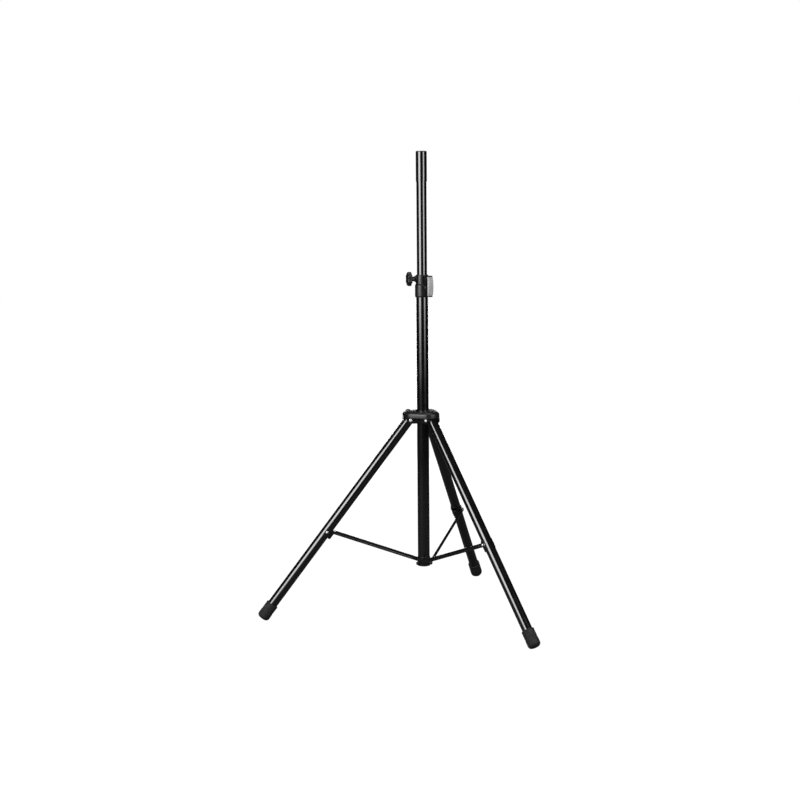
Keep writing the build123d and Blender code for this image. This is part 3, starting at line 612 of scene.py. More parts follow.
class FastenerHeads:
    """Rivet domes, socket screws and lock nuts, set out by Geometry Nodes."""

    def __init__(self, paint: PaintShop) -> None:
        """Remember the paint shop."""
        self.paint = paint

    def fit(self, name: str, heads: Sequence[Head], shape: HeadShape, radius: float,
            height: float, finish: Finish = BRIGHT_ZINC, shank: Shank | None = None) -> bpy.types.Object:
        """Make one mesh of fastener heads for one body.

        Args:
            name: The piece's name.
            heads: Where the heads sit.
            shape: What they look like.
            radius: The head's radius, in metres.
            height: The head's height, in metres.
            finish: What they are plated or painted with.
            shank: What each head stands on, or None for a head alone.

        Returns:
            The piece, which still has to ride on its body.
        """
        seats = bpy.data.meshes.new(name + "_seats")
        seats.from_pydata([head.seat for head in heads], [], [])
        outward = seats.attributes.new("outward", "FLOAT_VECTOR", "POINT")
        for index, head in enumerate(heads):
            outward.data[index].vector = head.outward
        rough = bpy.data.objects.new(name + "_rough", seats)
        bpy.context.collection.objects.link(rough)
        modifier = rough.modifiers.new("heads", "NODES")
        tree = self._tree(name + "_tree", shape, self.paint.material(finish))
        modifier.node_group = tree
        sizes = {"Radius": radius, "Height": height}
        for item in tree.interface.items_tree:
            if item.in_out == "INPUT" and item.name in sizes:
                modifier[item.identifier] = sizes[item.name]
        bpy.context.view_layer.update()
        evaluated = rough.evaluated_get(bpy.context.evaluated_depsgraph_get())
        baked = bpy.data.meshes.new_from_object(evaluated)
        bpy.data.objects.remove(rough)
        shaped = bmesh.new()
        shaped.from_mesh(baked)
        if shank:
            for head in heads:
                Workbench.lathe(shaped, shank.profile(), head.seat, head.outward * -1, 32)
        piece = Workbench.piece(name, shaped, 30.0)
        self.paint.paint(piece, finish)
        return piece

    def _tree(self, name: str, shape: HeadShape, material: bpy.types.Material) -> bpy.types.NodeTree:
        """Build the tree that puts a head on every seat.

        Args:
            name: The tree's name.
            shape: The kind of head.
            material: What the heads are made of.

        Returns:
            The geometry tree.
        """
        tree = bpy.data.node_groups.new(name, "GeometryNodeTree")
        tree.interface.new_socket("Geometry", in_out="INPUT", socket_type="NodeSocketGeometry")
        tree.interface.new_socket("Radius", in_out="INPUT", socket_type="NodeSocketFloat")
        tree.interface.new_socket("Height", in_out="INPUT", socket_type="NodeSocketFloat")
        tree.interface.new_socket("Geometry", in_out="OUTPUT", socket_type="NodeSocketGeometry")
        canvas = Canvas(tree)
        given = canvas.node("NodeGroupInput")
        out = canvas.node("NodeGroupOutput")
        radius = given.outputs["Radius"]
        height = given.outputs["Height"]
        if shape is HeadShape.NUT:
            head = self._nut(canvas, radius, height)
        else:
            head = self._dome(canvas, radius, height)
            if shape is HeadShape.SOCKET:
                head = self._socket(canvas, head, radius, height)
        direction = canvas.node("GeometryNodeInputNamedAttribute", data_type="FLOAT_VECTOR")
        direction.inputs["Name"].default_value = "outward"
        aim = canvas.node("FunctionNodeAlignRotationToVector", axis="Z")
        canvas.feed(aim.inputs["Vector"], direction.outputs["Attribute"])
        put = canvas.node("GeometryNodeInstanceOnPoints")
        canvas.feed(put.inputs["Points"], given.outputs["Geometry"])
        canvas.feed(put.inputs["Instance"], head)
        canvas.feed(put.inputs["Rotation"], aim.outputs["Rotation"])
        real = canvas.node("GeometryNodeRealizeInstances")
        canvas.feed(real.inputs[0], put.outputs[0])
        coat = canvas.node("GeometryNodeSetMaterial")
        canvas.feed(coat.inputs["Geometry"], real.outputs[0])
        coat.inputs["Material"].default_value = material
        canvas.feed(out.inputs[0], coat.outputs[0])
        return tree

    @staticmethod
    def _dome(canvas: Canvas, radius: object, height: object) -> bpy.types.NodeSocket:
        """Build a low dome on a short straight rim."""
        ball = canvas.node("GeometryNodeMeshUVSphere")
        ball.inputs["Segments"].default_value = 32
        ball.inputs["Rings"].default_value = 20
        ball.inputs["Radius"].default_value = 1.0
        size = canvas.node("ShaderNodeCombineXYZ")
        canvas.feed(size.inputs["X"], radius)
        canvas.feed(size.inputs["Y"], radius)
        canvas.feed(size.inputs["Z"], canvas.math("MULTIPLY", height, 0.72))
        flat = canvas.node("GeometryNodeTransform")
        canvas.feed(flat.inputs["Geometry"], ball.outputs["Mesh"])
        canvas.feed(flat.inputs["Scale"], size.outputs[0])
        lift = canvas.node("ShaderNodeCombineXYZ")
        canvas.feed(lift.inputs["Z"], canvas.math("MULTIPLY", height, 0.28))
        canvas.feed(flat.inputs["Translation"], lift.outputs[0])
        place = canvas.node("GeometryNodeInputPosition")
        parts = canvas.node("ShaderNodeSeparateXYZ")
        canvas.feed(parts.inputs[0], place.outputs[0])
        level = canvas.node("ShaderNodeCombineXYZ")
        canvas.feed(level.inputs["X"], parts.outputs["X"])
        canvas.feed(level.inputs["Y"], parts.outputs["Y"])
        low = canvas.math("LESS_THAN", parts.outputs["Z"], canvas.math("MULTIPLY", height, 0.27))
        raised = canvas.math("MULTIPLY", parts.outputs["Z"], canvas.math("SUBTRACT", 1.0, low))
        canvas.feed(level.inputs["Z"], raised)
        seat = canvas.node("GeometryNodeSetPosition")
        canvas.feed(seat.inputs["Geometry"], flat.outputs[0])
        canvas.feed(seat.inputs["Position"], level.outputs[0])
        hull = canvas.node("GeometryNodeConvexHull")
        canvas.feed(hull.inputs[0], seat.outputs[0])
        rim = canvas.node("GeometryNodeMeshCylinder")
        rim.inputs["Vertices"].default_value = 32
        canvas.feed(rim.inputs["Radius"], radius)
        canvas.feed(rim.inputs["Depth"], canvas.math("MULTIPLY", height, 0.28))
        lower = canvas.node("ShaderNodeCombineXYZ")
        canvas.feed(lower.inputs["Z"], canvas.math("MULTIPLY", height, 0.14))
        sit = canvas.node("GeometryNodeTransform")
        canvas.feed(sit.inputs["Geometry"], rim.outputs["Mesh"])
        canvas.feed(sit.inputs["Translation"], lower.outputs[0])
        both = canvas.node("GeometryNodeJoinGeometry")
        canvas.feed(both.inputs[0], hull.outputs[0])
        canvas.feed(both.inputs[0], sit.outputs[0])
        whole = canvas.node("GeometryNodeConvexHull")
        canvas.feed(whole.inputs[0], both.outputs[0])
        return whole.outputs[0]

    @staticmethod
    def _socket(canvas: Canvas, head: bpy.types.NodeSocket, radius: object,
                height: object) -> bpy.types.NodeSocket:
        """Sink a hexagon socket into a dome."""
        key = canvas.node("GeometryNodeMeshCylinder")
        key.inputs["Vertices"].default_value = 6
        canvas.feed(key.inputs["Radius"], canvas.math("MULTIPLY", radius, 0.45))
        canvas.feed(key.inputs["Depth"], canvas.math("MULTIPLY", height, 1.2))
        lift = canvas.node("ShaderNodeCombineXYZ")
        canvas.feed(lift.inputs["Z"], canvas.math("MULTIPLY", height, 1.05))
        raised = canvas.node("GeometryNodeTransform")
        canvas.feed(raised.inputs["Geometry"], key.outputs["Mesh"])
        canvas.feed(raised.inputs["Translation"], lift.outputs[0])
        cut = canvas.node("GeometryNodeMeshBoolean", operation="DIFFERENCE")
        canvas.feed(cut.inputs["Mesh 1"], head)
        canvas.feed(cut.inputs["Mesh 2"], raised.outputs[0])
        return cut.outputs["Mesh"]

    @staticmethod
    def _nut(canvas: Canvas, radius: object, height: object) -> bpy.types.NodeSocket:
        """Build a hexagon nut with the round collar of a lock nut on it."""
        parts = []
        for sides, reach, low, high in ((6, 1.0, 0.0, 0.62), (32, 0.80, 0.62, 1.0), (32, 0.66, 1.0, 1.12)):
            body = canvas.node("GeometryNodeMeshCylinder")
            body.inputs["Vertices"].default_value = sides
            canvas.feed(body.inputs["Radius"], canvas.math("MULTIPLY", radius, reach))
            canvas.feed(body.inputs["Depth"], canvas.math("MULTIPLY", height, high - low))
            lift = canvas.node("ShaderNodeCombineXYZ")
            canvas.feed(lift.inputs["Z"], canvas.math("MULTIPLY", height, (high + low) / 2))
            moved = canvas.node("GeometryNodeTransform")
            canvas.feed(moved.inputs["Geometry"], body.outputs["Mesh"])
            canvas.feed(moved.inputs["Translation"], lift.outputs[0])
            parts.append(moved.outputs[0])
        both = canvas.node("GeometryNodeJoinGeometry")
        for part in parts:
            canvas.feed(both.inputs[0], part)
        return both.outputs[0]


# ---- sub-assemblies --------------------------------------------------------------------------------


@dataclass
class Mast:
    """The two tubes, the pole sleeve and its cap, and the fittings at the foot of the outer tube."""

    paint: PaintShop

    def build(self) -> None:
        """Dress the tubes, the cap, the plug, the bush and the collar."""
        for node in ("outer_tube", "inner_tube", "pole_sleeve"):
            self.paint.paint_node(node, BLACK_ENAMEL)
        for node in ("pole_cap", "end_plug"):
            self.paint.paint_node(node, FINE_PLASTIC)
        self.paint.paint_node("guide_bush", DARK_NYLON)
        self.paint.paint_node("bottom_collar", PRESSED_STEEL)
        log.info("mast dressed")


@dataclass
class ClampHousing:
    """The housing at the top of the outer tube, with its bush, split block and cover plate."""

    paint: PaintShop
    heads: FastenerHeads
    bolt_head_radius: float = 4.8 * MM
    bolt_head_height: float = 3.2 * MM
    plate_edge: float = 2.5 * MM
    plate_rounding: float = 5.0 * MM
    outline_points: int = 96

    def build(self) -> None:
        """Dress the housing and build its plate and bolt heads."""
        self.paint.paint_node("clamp_housing", SATIN_CASTING)
        self.paint.paint_node("housing_bush", DARK_NYLON)
        self._bolt()
        self._plate()
        log.info("clamp housing built")

    def _bolt(self) -> None:
        """Put domed heads on the block's bolt."""
        low, high = (Vector(corner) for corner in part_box("block_bolt"))
        centre = (low + high) / 2
        inset = self.bolt_head_height
        seats = [Head(Vector((centre.x, low.y + inset, centre.z)), Vector((0, -1, 0))),
                 Head(Vector((centre.x, high.y - inset, centre.z)), Vector((0, 1, 0)))]
        piece = self.heads.fit("block_bolt_heads", seats, HeadShape.SOCKET,
                               self.bolt_head_radius, self.bolt_head_height, BLACKENED_STEEL)
        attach(piece, "root")
        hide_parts("block_bolt")

    def _plate(self) -> None:
        """Build the cover plate, whose face bulges outwards between its two ends."""
        low, high = (Vector(corner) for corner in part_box("cover_plate"))
        centre = (low + high) / 2
        half_width = (high.y - low.y) / 2
        half_height = (high.z - low.z) / 2
        crown = high.x - low.x
        # inset from the outline, and how far below the full bulge the loop lies
        front = ((0.0, 1.4 * MM), (0.15 * MM, 0.8 * MM), (0.5 * MM, 0.3 * MM), (1.1 * MM, 0.05 * MM),
                 (1.8 * MM, 0.0), (2.1 * MM, 0.35 * MM), (2.6 * MM, 0.35 * MM), (2.9 * MM, 0.0),
                 (4.5 * MM, 0.0), (7.0 * MM, 0.0), (9.0 * MM, 0.0), (half_width - 0.2 * MM, 0.0))
        loops = [[Vector((low.x, centre.y + across, centre.z + up)) for across, up in
                  self._outline(half_width - 0.3 * MM, half_height - 0.3 * MM, 1.2 * MM)]]
        for inset, drop in front:
            ring = []
            for across, up in self._outline(half_width - inset, half_height - inset,
                                            max(self.plate_rounding - inset, 0.15 * MM)):
                swell = self.plate_edge + (crown - self.plate_edge) * (1 - (up / half_height) ** 2)
                ring.append(Vector((low.x + swell - drop, centre.y + across, centre.z + up)))
            loops.append(ring)
        shape = bmesh.new()
        Workbench.skin(shape, loops)
        piece = Workbench.piece("cover_plate_moulded", shape, 50.0)
        self.paint.paint(piece, GREY_PLATE)
        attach(piece, "root")
        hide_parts("cover_plate")

    def _outline(self, half_width: float, half_height: float, rounding: float) -> list[Point]:
        """Return points round a rounded rectangle.

        Args:
            half_width: Half its width.
            half_height: Half its height.
            rounding: The radius of its corners.

        Returns:
            The points, anticlockwise from the right.
        """
        points = []
        quarter = self.outline_points // 8
        corners = ((1, 1), (-1, 1), (-1, -1), (1, -1))
        for corner, (sign_x, sign_y) in enumerate(corners):
            for step in range(quarter):
                angle = math.pi / 2 * (corner + step / (quarter - 1))
                points.append((sign_x * (half_width - rounding) + rounding * math.cos(angle),
                               sign_y * (half_height - rounding) + rounding * math.sin(angle)))
            last = points[-1]
            next_x, next_y = corners[(corner + 1) % 4]
            turn = math.pi / 2 * (corner + 1)
            following = (next_x * (half_width - rounding) + rounding * math.cos(turn),
                         next_y * (half_height - rounding) + rounding * math.sin(turn))
            for step in range(1, quarter):
                part = step / quarter
                points.append((last[0] + (following[0] - last[0]) * part,
                               last[1] + (following[1] - last[1]) * part))
        return points


@dataclass
class StarKnob:
    """A moulded knob with lobes, on the outer end of a screw."""

    paint: PaintShop
    prefix: str
    azimuth: float
    height: float
    stem_radius: float = 8.2 * MM
    stem: float = 12.0 * MM
    body_radius: float = 20.0 * MM
    tip_radius: float = 24.5 * MM
    thickness: float = 16.0 * MM
    lobes: int = 6
    lobe_start: float = 30.0
    points: int = 144

    def build(self) -> None:
        """Dress the knob's screw and shoe."""
        self.paint.paint_node(f"{self.prefix}_screw", BRIGHT_ZINC)
        self.paint.paint_node(f"{self.prefix}_shoe", TURNED_BRASS)
        log.info("%s knob dressed", self.prefix)

    def make(self, stem_start: float) -> None:
        """Build the knob's mesh.

        Args:
            stem_start: Distance from the mast's axis to the inner end of the knob's stem.
        """
        star = self.stem
        face = star + self.thickness
        thick = self.thickness
        # radius at a lobe's tip, radius between the lobes, distance from the stem's inner end
        rings = (
            (5.2 * MM, 5.2 * MM, 0.0), (self.stem_radius - 0.6 * MM, self.stem_radius - 0.6 * MM, 0.0),
            (self.stem_radius, self.stem_radius, 0.6 * MM),
            (self.stem_radius, self.stem_radius, star - 3.2 * MM),
            (self.stem_radius + 0.5 * MM, self.stem_radius + 0.5 * MM, star - 1.6 * MM),
            (self.stem_radius + 1.8 * MM, self.stem_radius + 1.8 * MM, star - 0.3 * MM),
            (self.stem_radius + 3.6 * MM, self.stem_radius + 3.6 * MM, star),
            (self.tip_radius - 2.6 * MM, self.body_radius - 2.2 * MM, star),
            (self.tip_radius - 1.2 * MM, self.body_radius - 1.0 * MM, star + 0.4 * MM),
            (self.tip_radius - 0.3 * MM, self.body_radius - 0.2 * MM, star + 1.4 * MM),
            (self.tip_radius, self.body_radius, star + 3.0 * MM),
            (self.tip_radius, self.body_radius, star + thick * 0.62),
            (self.tip_radius - 0.5 * MM, self.body_radius - 0.4 * MM, star + thick * 0.78),
            (self.tip_radius - 1.9 * MM, self.body_radius - 1.5 * MM, star + thick * 0.92),
            (self.tip_radius - 4.2 * MM, self.body_radius - 3.4 * MM, face - 0.3 * MM),
            (13.6 * MM, 12.9 * MM, face), (12.8 * MM, 12.4 * MM, face - 0.1 * MM),
            (12.2 * MM, 12.0 * MM, face - 1.1 * MM), (11.0 * MM, 11.0 * MM, face - 1.3 * MM),
            (7.2 * MM, 7.2 * MM, face - 0.9 * MM), (3.4 * MM, 3.4 * MM, face - 0.55 * MM),
            (1.0 * MM, 1.0 * MM, face - 0.5 * MM))
        out = radial(self.azimuth)
        across = sideways(self.azimuth) * -1
        up = Vector((0, 0, 1))
        origin = out * stem_start + up * self.height
        loops = []
        for tip, valley, along in rings:
            ring = []
            for step in range(self.points):
                angle = math.tau * step / self.points
                lobe = 0.5 + 0.5 * math.cos((angle - math.radians(self.lobe_start)) * self.lobes)
                swell = lobe ** 0.8
                radius = valley + (tip - valley) * swell
                ring.append(origin + out * along
                            + (across * math.cos(angle) + up * math.sin(angle)) * radius)
            loops.append(ring)
        shape = bmesh.new()
        Workbench.skin(shape, loops)
        piece = Workbench.piece(f"{self.prefix}_star_knob", shape, 50.0)
        self.paint.paint(piece, KNOB_PLASTIC)
        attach(piece, f"{self.prefix}_knob")
        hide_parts(f"{self.prefix}_knob")
        self.build()


@dataclass
class Hub:
    """The sliding hub: its yoke, liner and cap, and the bolts that the legs turn on."""

    paint: PaintShop
    heads: FastenerHeads
    pivot_out: float = 48.0 * MM
    lobe_radius: float = 40.5 * MM
    lobe_out: float = 28.3 * MM
    boss_radius: float = 11.2 * MM
    boss_azimuth: float = 180.0
    mast_clearance: float = 21.4 * MM
    ear_outside: float = 26.3 * MM
    bolt_head_radius: float = 6.0 * MM
    bolt_head_height: float = 3.8 * MM
    nut_height: float = 5.0 * MM
    arc_steps: int = 48
    flat_steps: int = 36

    def build(self) -> None:
        """Dress the yoke and build its cap, bolt heads and nuts."""
        self.paint.paint_node("hub_yoke", SATIN_CASTING)
        self.paint.paint_node("hub_liner", DARK_NYLON)
        self._cap()
        self._bolts()
        log.info("hub built")

    def _bolts(self) -> None:
        """Put a domed head and a lock nut on every leg pivot."""
        height = middle("leg_pivot_bolts").z
        bolts, nuts = [], []
        for leg in LEGS:
            azimuth = leg_azimuth(leg)
            side = sideways(azimuth)
            seat = radial(azimuth) * self.pivot_out + Vector((0, 0, height))
            bolts.append(Head(seat + side * self.ear_outside, side))
            nuts.append(Head(seat - side * self.ear_outside, side * -1))
        bolt_piece = self.heads.fit("leg_pivot_domed_bolts", bolts, HeadShape.DOME,
                                    self.bolt_head_radius, self.bolt_head_height, BRIGHT_ZINC,
                                    Shank(4.0 * MM, self.ear_outside * 2 + self.nut_height))
        nut_piece = self.heads.fit("leg_pivot_lock_nuts", nuts, HeadShape.NUT,
                                   self.bolt_head_radius, self.nut_height)
        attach(bolt_piece, "hub")
        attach(nut_piece, "hub")
        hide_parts("leg_pivot_bolts")
        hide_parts("leg_pivot_nuts")

    def _outline(self, radius: float, height: float, circle: float = 0.0,
                 round_share: float = 0.0) -> Loop:
        """Return points round the cap at one level.

        Args:
            radius: The radius of its three lobes there.
            height: The level.
            circle: The radius of a circle about the mast that the outline turns into.
            round_share: How far it has turned into that circle, from 0 to 1.

        Returns:
            The loop.
        """
        loop = []
        spread = LEG_SPACING / 2
        for leg in LEGS:
            middle_angle = leg_azimuth(leg)
            lobe = radial(middle_angle) * self.lobe_out
            last = lobe + radial(middle_angle + spread) * radius
            following = radial(middle_angle + LEG_SPACING) * self.lobe_out
            first_of_next = following + radial(middle_angle + spread) * radius
            points = [lobe + radial(middle_angle - spread + LEG_SPACING * step / self.arc_steps) * radius
                      for step in range(self.arc_steps + 1)]
            points += [last.lerp(first_of_next, step / self.flat_steps)
                       for step in range(1, self.flat_steps)]
            for point in points:
                placed = point * (1 - round_share) + point.normalized() * circle * round_share
                loop.append(Vector((placed.x, placed.y, height)))
        return self._notched(loop)

    def _notched(self, loop: Loop) -> Loop:
        """Lift a loop over the lock screw's boss where it would run through it."""
        out = radial(self.boss_azimuth)
        across = sideways(self.boss_azimuth)
        centre = middle("hub_lock_screw").z
        reach = self.boss_radius + 0.4 * MM
        for point in loop:
            off = point.dot(across)
            if point.dot(out) > self.mast_clearance + 6.0 * MM and abs(off) < reach:
                point.z = max(point.z, centre + math.sqrt(reach ** 2 - off ** 2))
        return loop

    def _cap(self) -> None:
        """Build the moulded cap: a skirt with a rim bead, a rounded shoulder and a raised neck."""
        low, high = (Vector(corner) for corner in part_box("hub_cap"))
        rim, top = low.z, high.z
        wall = 2.4 * MM
        edge = 8.0 * MM
        dome = 16.0 * MM
        fall = 10.0 * MM
        lobe = self.lobe_radius
        loops = [
            self._outline(lobe - wall, rim + 0.5 * MM), self._outline(lobe - wall + 0.5 * MM, rim),
            self._outline(lobe - 0.4 * MM, rim), self._outline(lobe, rim + 0.4 * MM),
            self._outline(lobe, rim + 2.0 * MM), self._outline(lobe - 0.7 * MM, rim + 2.6 * MM)]
        for step in range(9):
            turn = math.pi / 2 * step / 8
            loops.append(self._outline(lobe - 0.7 * MM - dome * (1 - math.cos(turn)),
                                       top - fall * (1 - math.sin(turn)) - 0.4 * MM))
        inner = lobe - dome - 0.7 * MM
        loops += [
            self._outline(inner - 2.0 * MM, top - 0.2 * MM, self.mast_clearance, 0.15),
            self._outline(inner - 6.0 * MM, top, self.mast_clearance + 6.0 * MM, 0.6),
            self._outline(inner, top, self.mast_clearance + 3.4 * MM, 1.0),
            self._outline(inner, top - 1.0 * MM, self.mast_clearance + 2.8 * MM, 1.0),
            self._outline(inner, top - 1.0 * MM, self.mast_clearance + 1.6 * MM, 1.0),
            self._outline(inner, top - 0.2 * MM, self.mast_clearance + 1.2 * MM, 1.0),
            self._outline(inner, top - 0.2 * MM, self.mast_clearance + 0.4 * MM, 1.0),
            self._outline(inner, top - 0.6 * MM, self.mast_clearance, 1.0),
            self._outline(inner, top - 2.3 * MM, self.mast_clearance, 1.0),
            self._outline(lobe - edge, top - 2.3 * MM, self.mast_clearance + 6.0 * MM, 0.2),
            self._outline(lobe - edge + 1.0 * MM, top - edge + 3.0 * MM),
            self._outline(lobe - wall, top - edge)]
        loops.append(loops[0])
        shape = bmesh.new()
        Workbench.skin(shape, loops, capped=False)
        piece = Workbench.piece("hub_cap_moulded", shape, 32.0)
        self.paint.paint(piece, HUB_MOULDING)
        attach(piece, "hub")
        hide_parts("hub_cap")


@dataclass
class Leg:
    """A leg: its tube and plug, the rubber boot, and the saddle with its bolt."""

    paint: PaintShop
    heads: FastenerHeads
    number: int
    pivot: Vector
    lean: float
    reach: float = 869.0 * MM
    brace_point: float = 488.5 * MM
    boot_length: float = 62.0 * MM
    boot_radius: float = 22.0 * MM
    tube_radius: float = 17.5 * MM
    saddle_side: float = 20.3 * MM
    spacer: float = 2.0 * MM
    spacer_radius: float = 6.5 * MM
    rivet_radius: float = 4.8 * MM
    rivet_height: float = 4.4 * MM

    @property
    def body(self) -> str:
        """The leg's body."""
        return f"leg_{self.number}"

    @property
    def down(self) -> Vector:
        """The direction down the leg."""
        lean = math.radians(self.lean)
        return radial(leg_azimuth(self.number)) * math.sin(lean) - Vector((0, 0, math.cos(lean)))

    def build(self) -> None:
        """Dress the tube and build the boot and the rivet heads."""
        self.paint.paint_node(f"{self.body}_tube", BLACK_ENAMEL, self.number)
        self.paint.paint_node(f"{self.body}_plug", FINE_PLASTIC, self.number)
        self.paint.paint_node(f"{self.body}_saddle", PRESSED_STEEL, self.number)
        self._boot()
        self._rivet()
        log.info("leg %d built", self.number)

    def _boot(self) -> None:
        """Build the moulded boot: a rolled lip, three grip rings and a rounded end with treads."""
        start = self.reach - self.boot_length
        radius = self.boot_radius
        length = self.boot_length
        groove = 0.8 * MM
        profile = [(self.tube_radius + 0.1 * MM, length - 9.0 * MM, 0.0),
                   (self.tube_radius + 0.1 * MM, 0.8 * MM, 0.0),
                   (self.tube_radius + 0.7 * MM, 0.0, 0.4 * MM),
                   (radius - 1.2 * MM, 0.0, 0.8 * MM), (radius, 1.4 * MM, 0.9 * MM),
                   (radius, 5.0 * MM, 0.6 * MM), (radius - groove, 5.8 * MM, 0.4 * MM)]
        for ring in range(3):
            foot = (10.0 + ring * 6.0) * MM
            profile += [(radius - groove, foot, 0.3 * MM), (radius - 0.1 * MM, foot + 0.9 * MM, 0.5 * MM),
                        (radius - 0.1 * MM, foot + 2.6 * MM, 0.5 * MM),
                        (radius - groove, foot + 3.5 * MM, 0.3 * MM)]
        profile += [(radius - groove, 31.0 * MM, 0.4 * MM), (radius, 33.0 * MM, 0.8 * MM),
                    (radius, length - 12.0 * MM, 0.0)]
        points = Workbench.rounded(profile)
        for step in range(1, 13):
            turn = math.pi / 2 * step / 12
            points.append((radius - 12.0 * MM * (1 - math.cos(turn)),
                           length - 12.0 * MM * (1 - math.sin(turn))))
        points += [(8.6 * MM, length), (8.2 * MM, length - 0.7 * MM), (7.2 * MM, length - 0.7 * MM),
                   (6.8 * MM, length), (1.0 * MM, length)]
        shape = bmesh.new()
        origin = self.pivot + self.down * start
        Workbench.lathe(shape, points, origin, self.down)
        cut = bmesh.ops.bisect_plane(shape, geom=shape.verts[:] + shape.edges[:] + shape.faces[:],
                                     plane_co=(0, 0, 0), plane_no=(0, 0, -1), clear_outer=True)
        rim = [item for item in cut["geom_cut"] if isinstance(item, bmesh.types.BMEdge)]
        bmesh.ops.holes_fill(shape, edges=rim)
        piece = Workbench.piece(f"{self.body}_rubber_boot", shape, 48.0)
        self.paint.paint(piece, BOOT_RUBBER, self.number)
        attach(piece, self.body)
        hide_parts(f"{self.body}_boot")

    def _rivet(self) -> None:
        """Build the saddle's rivet: a dome on the plain side, its shank and the spacer."""
        side = sideways(leg_azimuth(self.number))
        seat = self.pivot + self.down * self.brace_point - side * self.saddle_side
        low, high = (Vector(corner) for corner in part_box(f"{self.body}_saddle_rivet"))
        whole = (high - low).length
        piece = self.heads.fit(f"{self.body}_saddle_bolt", [Head(seat, side * -1)], HeadShape.DOME,
                               self.rivet_radius, self.rivet_height, BRIGHT_ZINC,
                               Shank(3.0 * MM, min(whole, 2 * self.saddle_side + self.spacer),
                                     self.spacer_radius, 2 * self.saddle_side,
                                     2 * self.saddle_side + self.spacer))
        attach(piece, self.body)
        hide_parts(f"{self.body}_saddle_rivet")


@dataclass
class Brace:
    """A brace: a pressed strip with a raised rib, and the rivet at its outer end."""

    paint: PaintShop
    heads: FastenerHeads
    number: int
    foot: Vector
    top: Vector
    height: float = 14.6 * MM
    thickness: float = 3.0 * MM
    rib_width: float = 5.0 * MM
    rib_height: float = 1.2 * MM
    rib_end: float = 22.0 * MM
    rivet_radius: float = 4.8 * MM
    rivet_height: float = 3.2 * MM
    arc_steps: int = 24
    side_steps: int = 12

    @property
    def body(self) -> str:
        """The brace's body."""
        return f"brace_{self.number}"

    def build(self) -> None:
        """Build the strip and its rivet head."""
        side = sideways(leg_azimuth(self.number))
        self._strip(side)
        piece = self.heads.fit(f"{self.body}_rivet_dome", [Head(self.top + side * self.thickness, side)],
                               HeadShape.DOME, self.rivet_radius, self.rivet_height, BRIGHT_ZINC,
                               Shank(3.0 * MM, self.thickness - 0.2 * MM))
        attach(piece, self.body)
        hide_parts(f"{self.body}_rivet")
        log.info("brace %d built", self.number)

    def _loop(self, side: Vector, half_length: float, radius: float, out: float) -> Loop:
        """Return points round a long slot shape on the strip.

        Args:
            side: The direction out of the strip's face.
            half_length: Half the distance between the centres of its ends.
            radius: The radius of its ends.
            out: How far the loop is from the strip's inner face.

        Returns:
            The loop, with the same number of points for every size.
        """
        along = (self.top - self.foot).normalized()
        across = side.cross(along)
        centre = (self.top + self.foot) / 2
        flat: list[Point] = []
        for end in (1, -1):
            for step in range(self.arc_steps + 1):
                angle = -math.pi / 2 + math.pi * step / self.arc_steps
                flat.append((end * (half_length + radius * math.cos(angle)),
                             end * radius * math.sin(angle)))
            for step in range(1, self.side_steps):
                part = 1 - 2 * step / self.side_steps
                flat.append((end * half_length * part, end * radius))
        return [centre + along * x + across * y + side * out for x, y in flat]

    def _strip(self, side: Vector) -> None:
        """Build the strip with rolled edges and a rib that swells out of its face."""
        half = (self.top - self.foot).length / 2
        end = self.height / 2
        thick = self.thickness
        rib_half = half - self.rib_end
        rib = self.rib_width / 2
        loops = [
            self._loop(side, rib_half, 0.4 * MM, 0.9 * MM),
            self._loop(side, rib_half, rib - 1.0 * MM, 0.8 * MM),
            self._loop(side, rib_half, rib - 0.2 * MM, 0.1 * MM),
            self._loop(side, rib_half, rib + 0.3 * MM, 0.0),
            self._loop(side, half, end - 0.9 * MM, 0.0),
            self._loop(side, half, end - 0.3 * MM, 0.2 * MM),
            self._loop(side, half, end, 0.8 * MM),
            self._loop(side, half, end, thick - 0.8 * MM),
            self._loop(side, half, end - 0.3 * MM, thick - 0.2 * MM),
            self._loop(side, half, end - 0.9 * MM, thick),
            self._loop(side, rib_half, rib + 0.9 * MM, thick),
            self._loop(side, rib_half, rib + 0.2 * MM, thick + self.rib_height * 0.2),
            self._loop(side, rib_half, rib - 0.6 * MM, thick + self.rib_height * 0.8),
            self._loop(side, rib_half, rib - 1.3 * MM, thick + self.rib_height),
            self._loop(side, rib_half, 0.4 * MM, thick + self.rib_height)]
        shape = bmesh.new()
        Workbench.skin(shape, loops)
        piece = Workbench.piece(f"{self.body}_pressed_strip", shape, 60.0)
        self.paint.paint(piece, PRESSED_STEEL)
        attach(piece, self.body)
        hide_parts(f"{self.body}_bar")


@dataclass
class CollarBolts:
    """The three bolts at the foot of the mast that the braces turn on."""

    paint: PaintShop

    def build(self) -> None:
        """Dress the bolts."""
        self.paint.paint_node("collar_bolts", BLACKENED_STEEL)
        log.info("collar bolts dressed")


# ---- studio ----------------------------------------------------------------------------------------


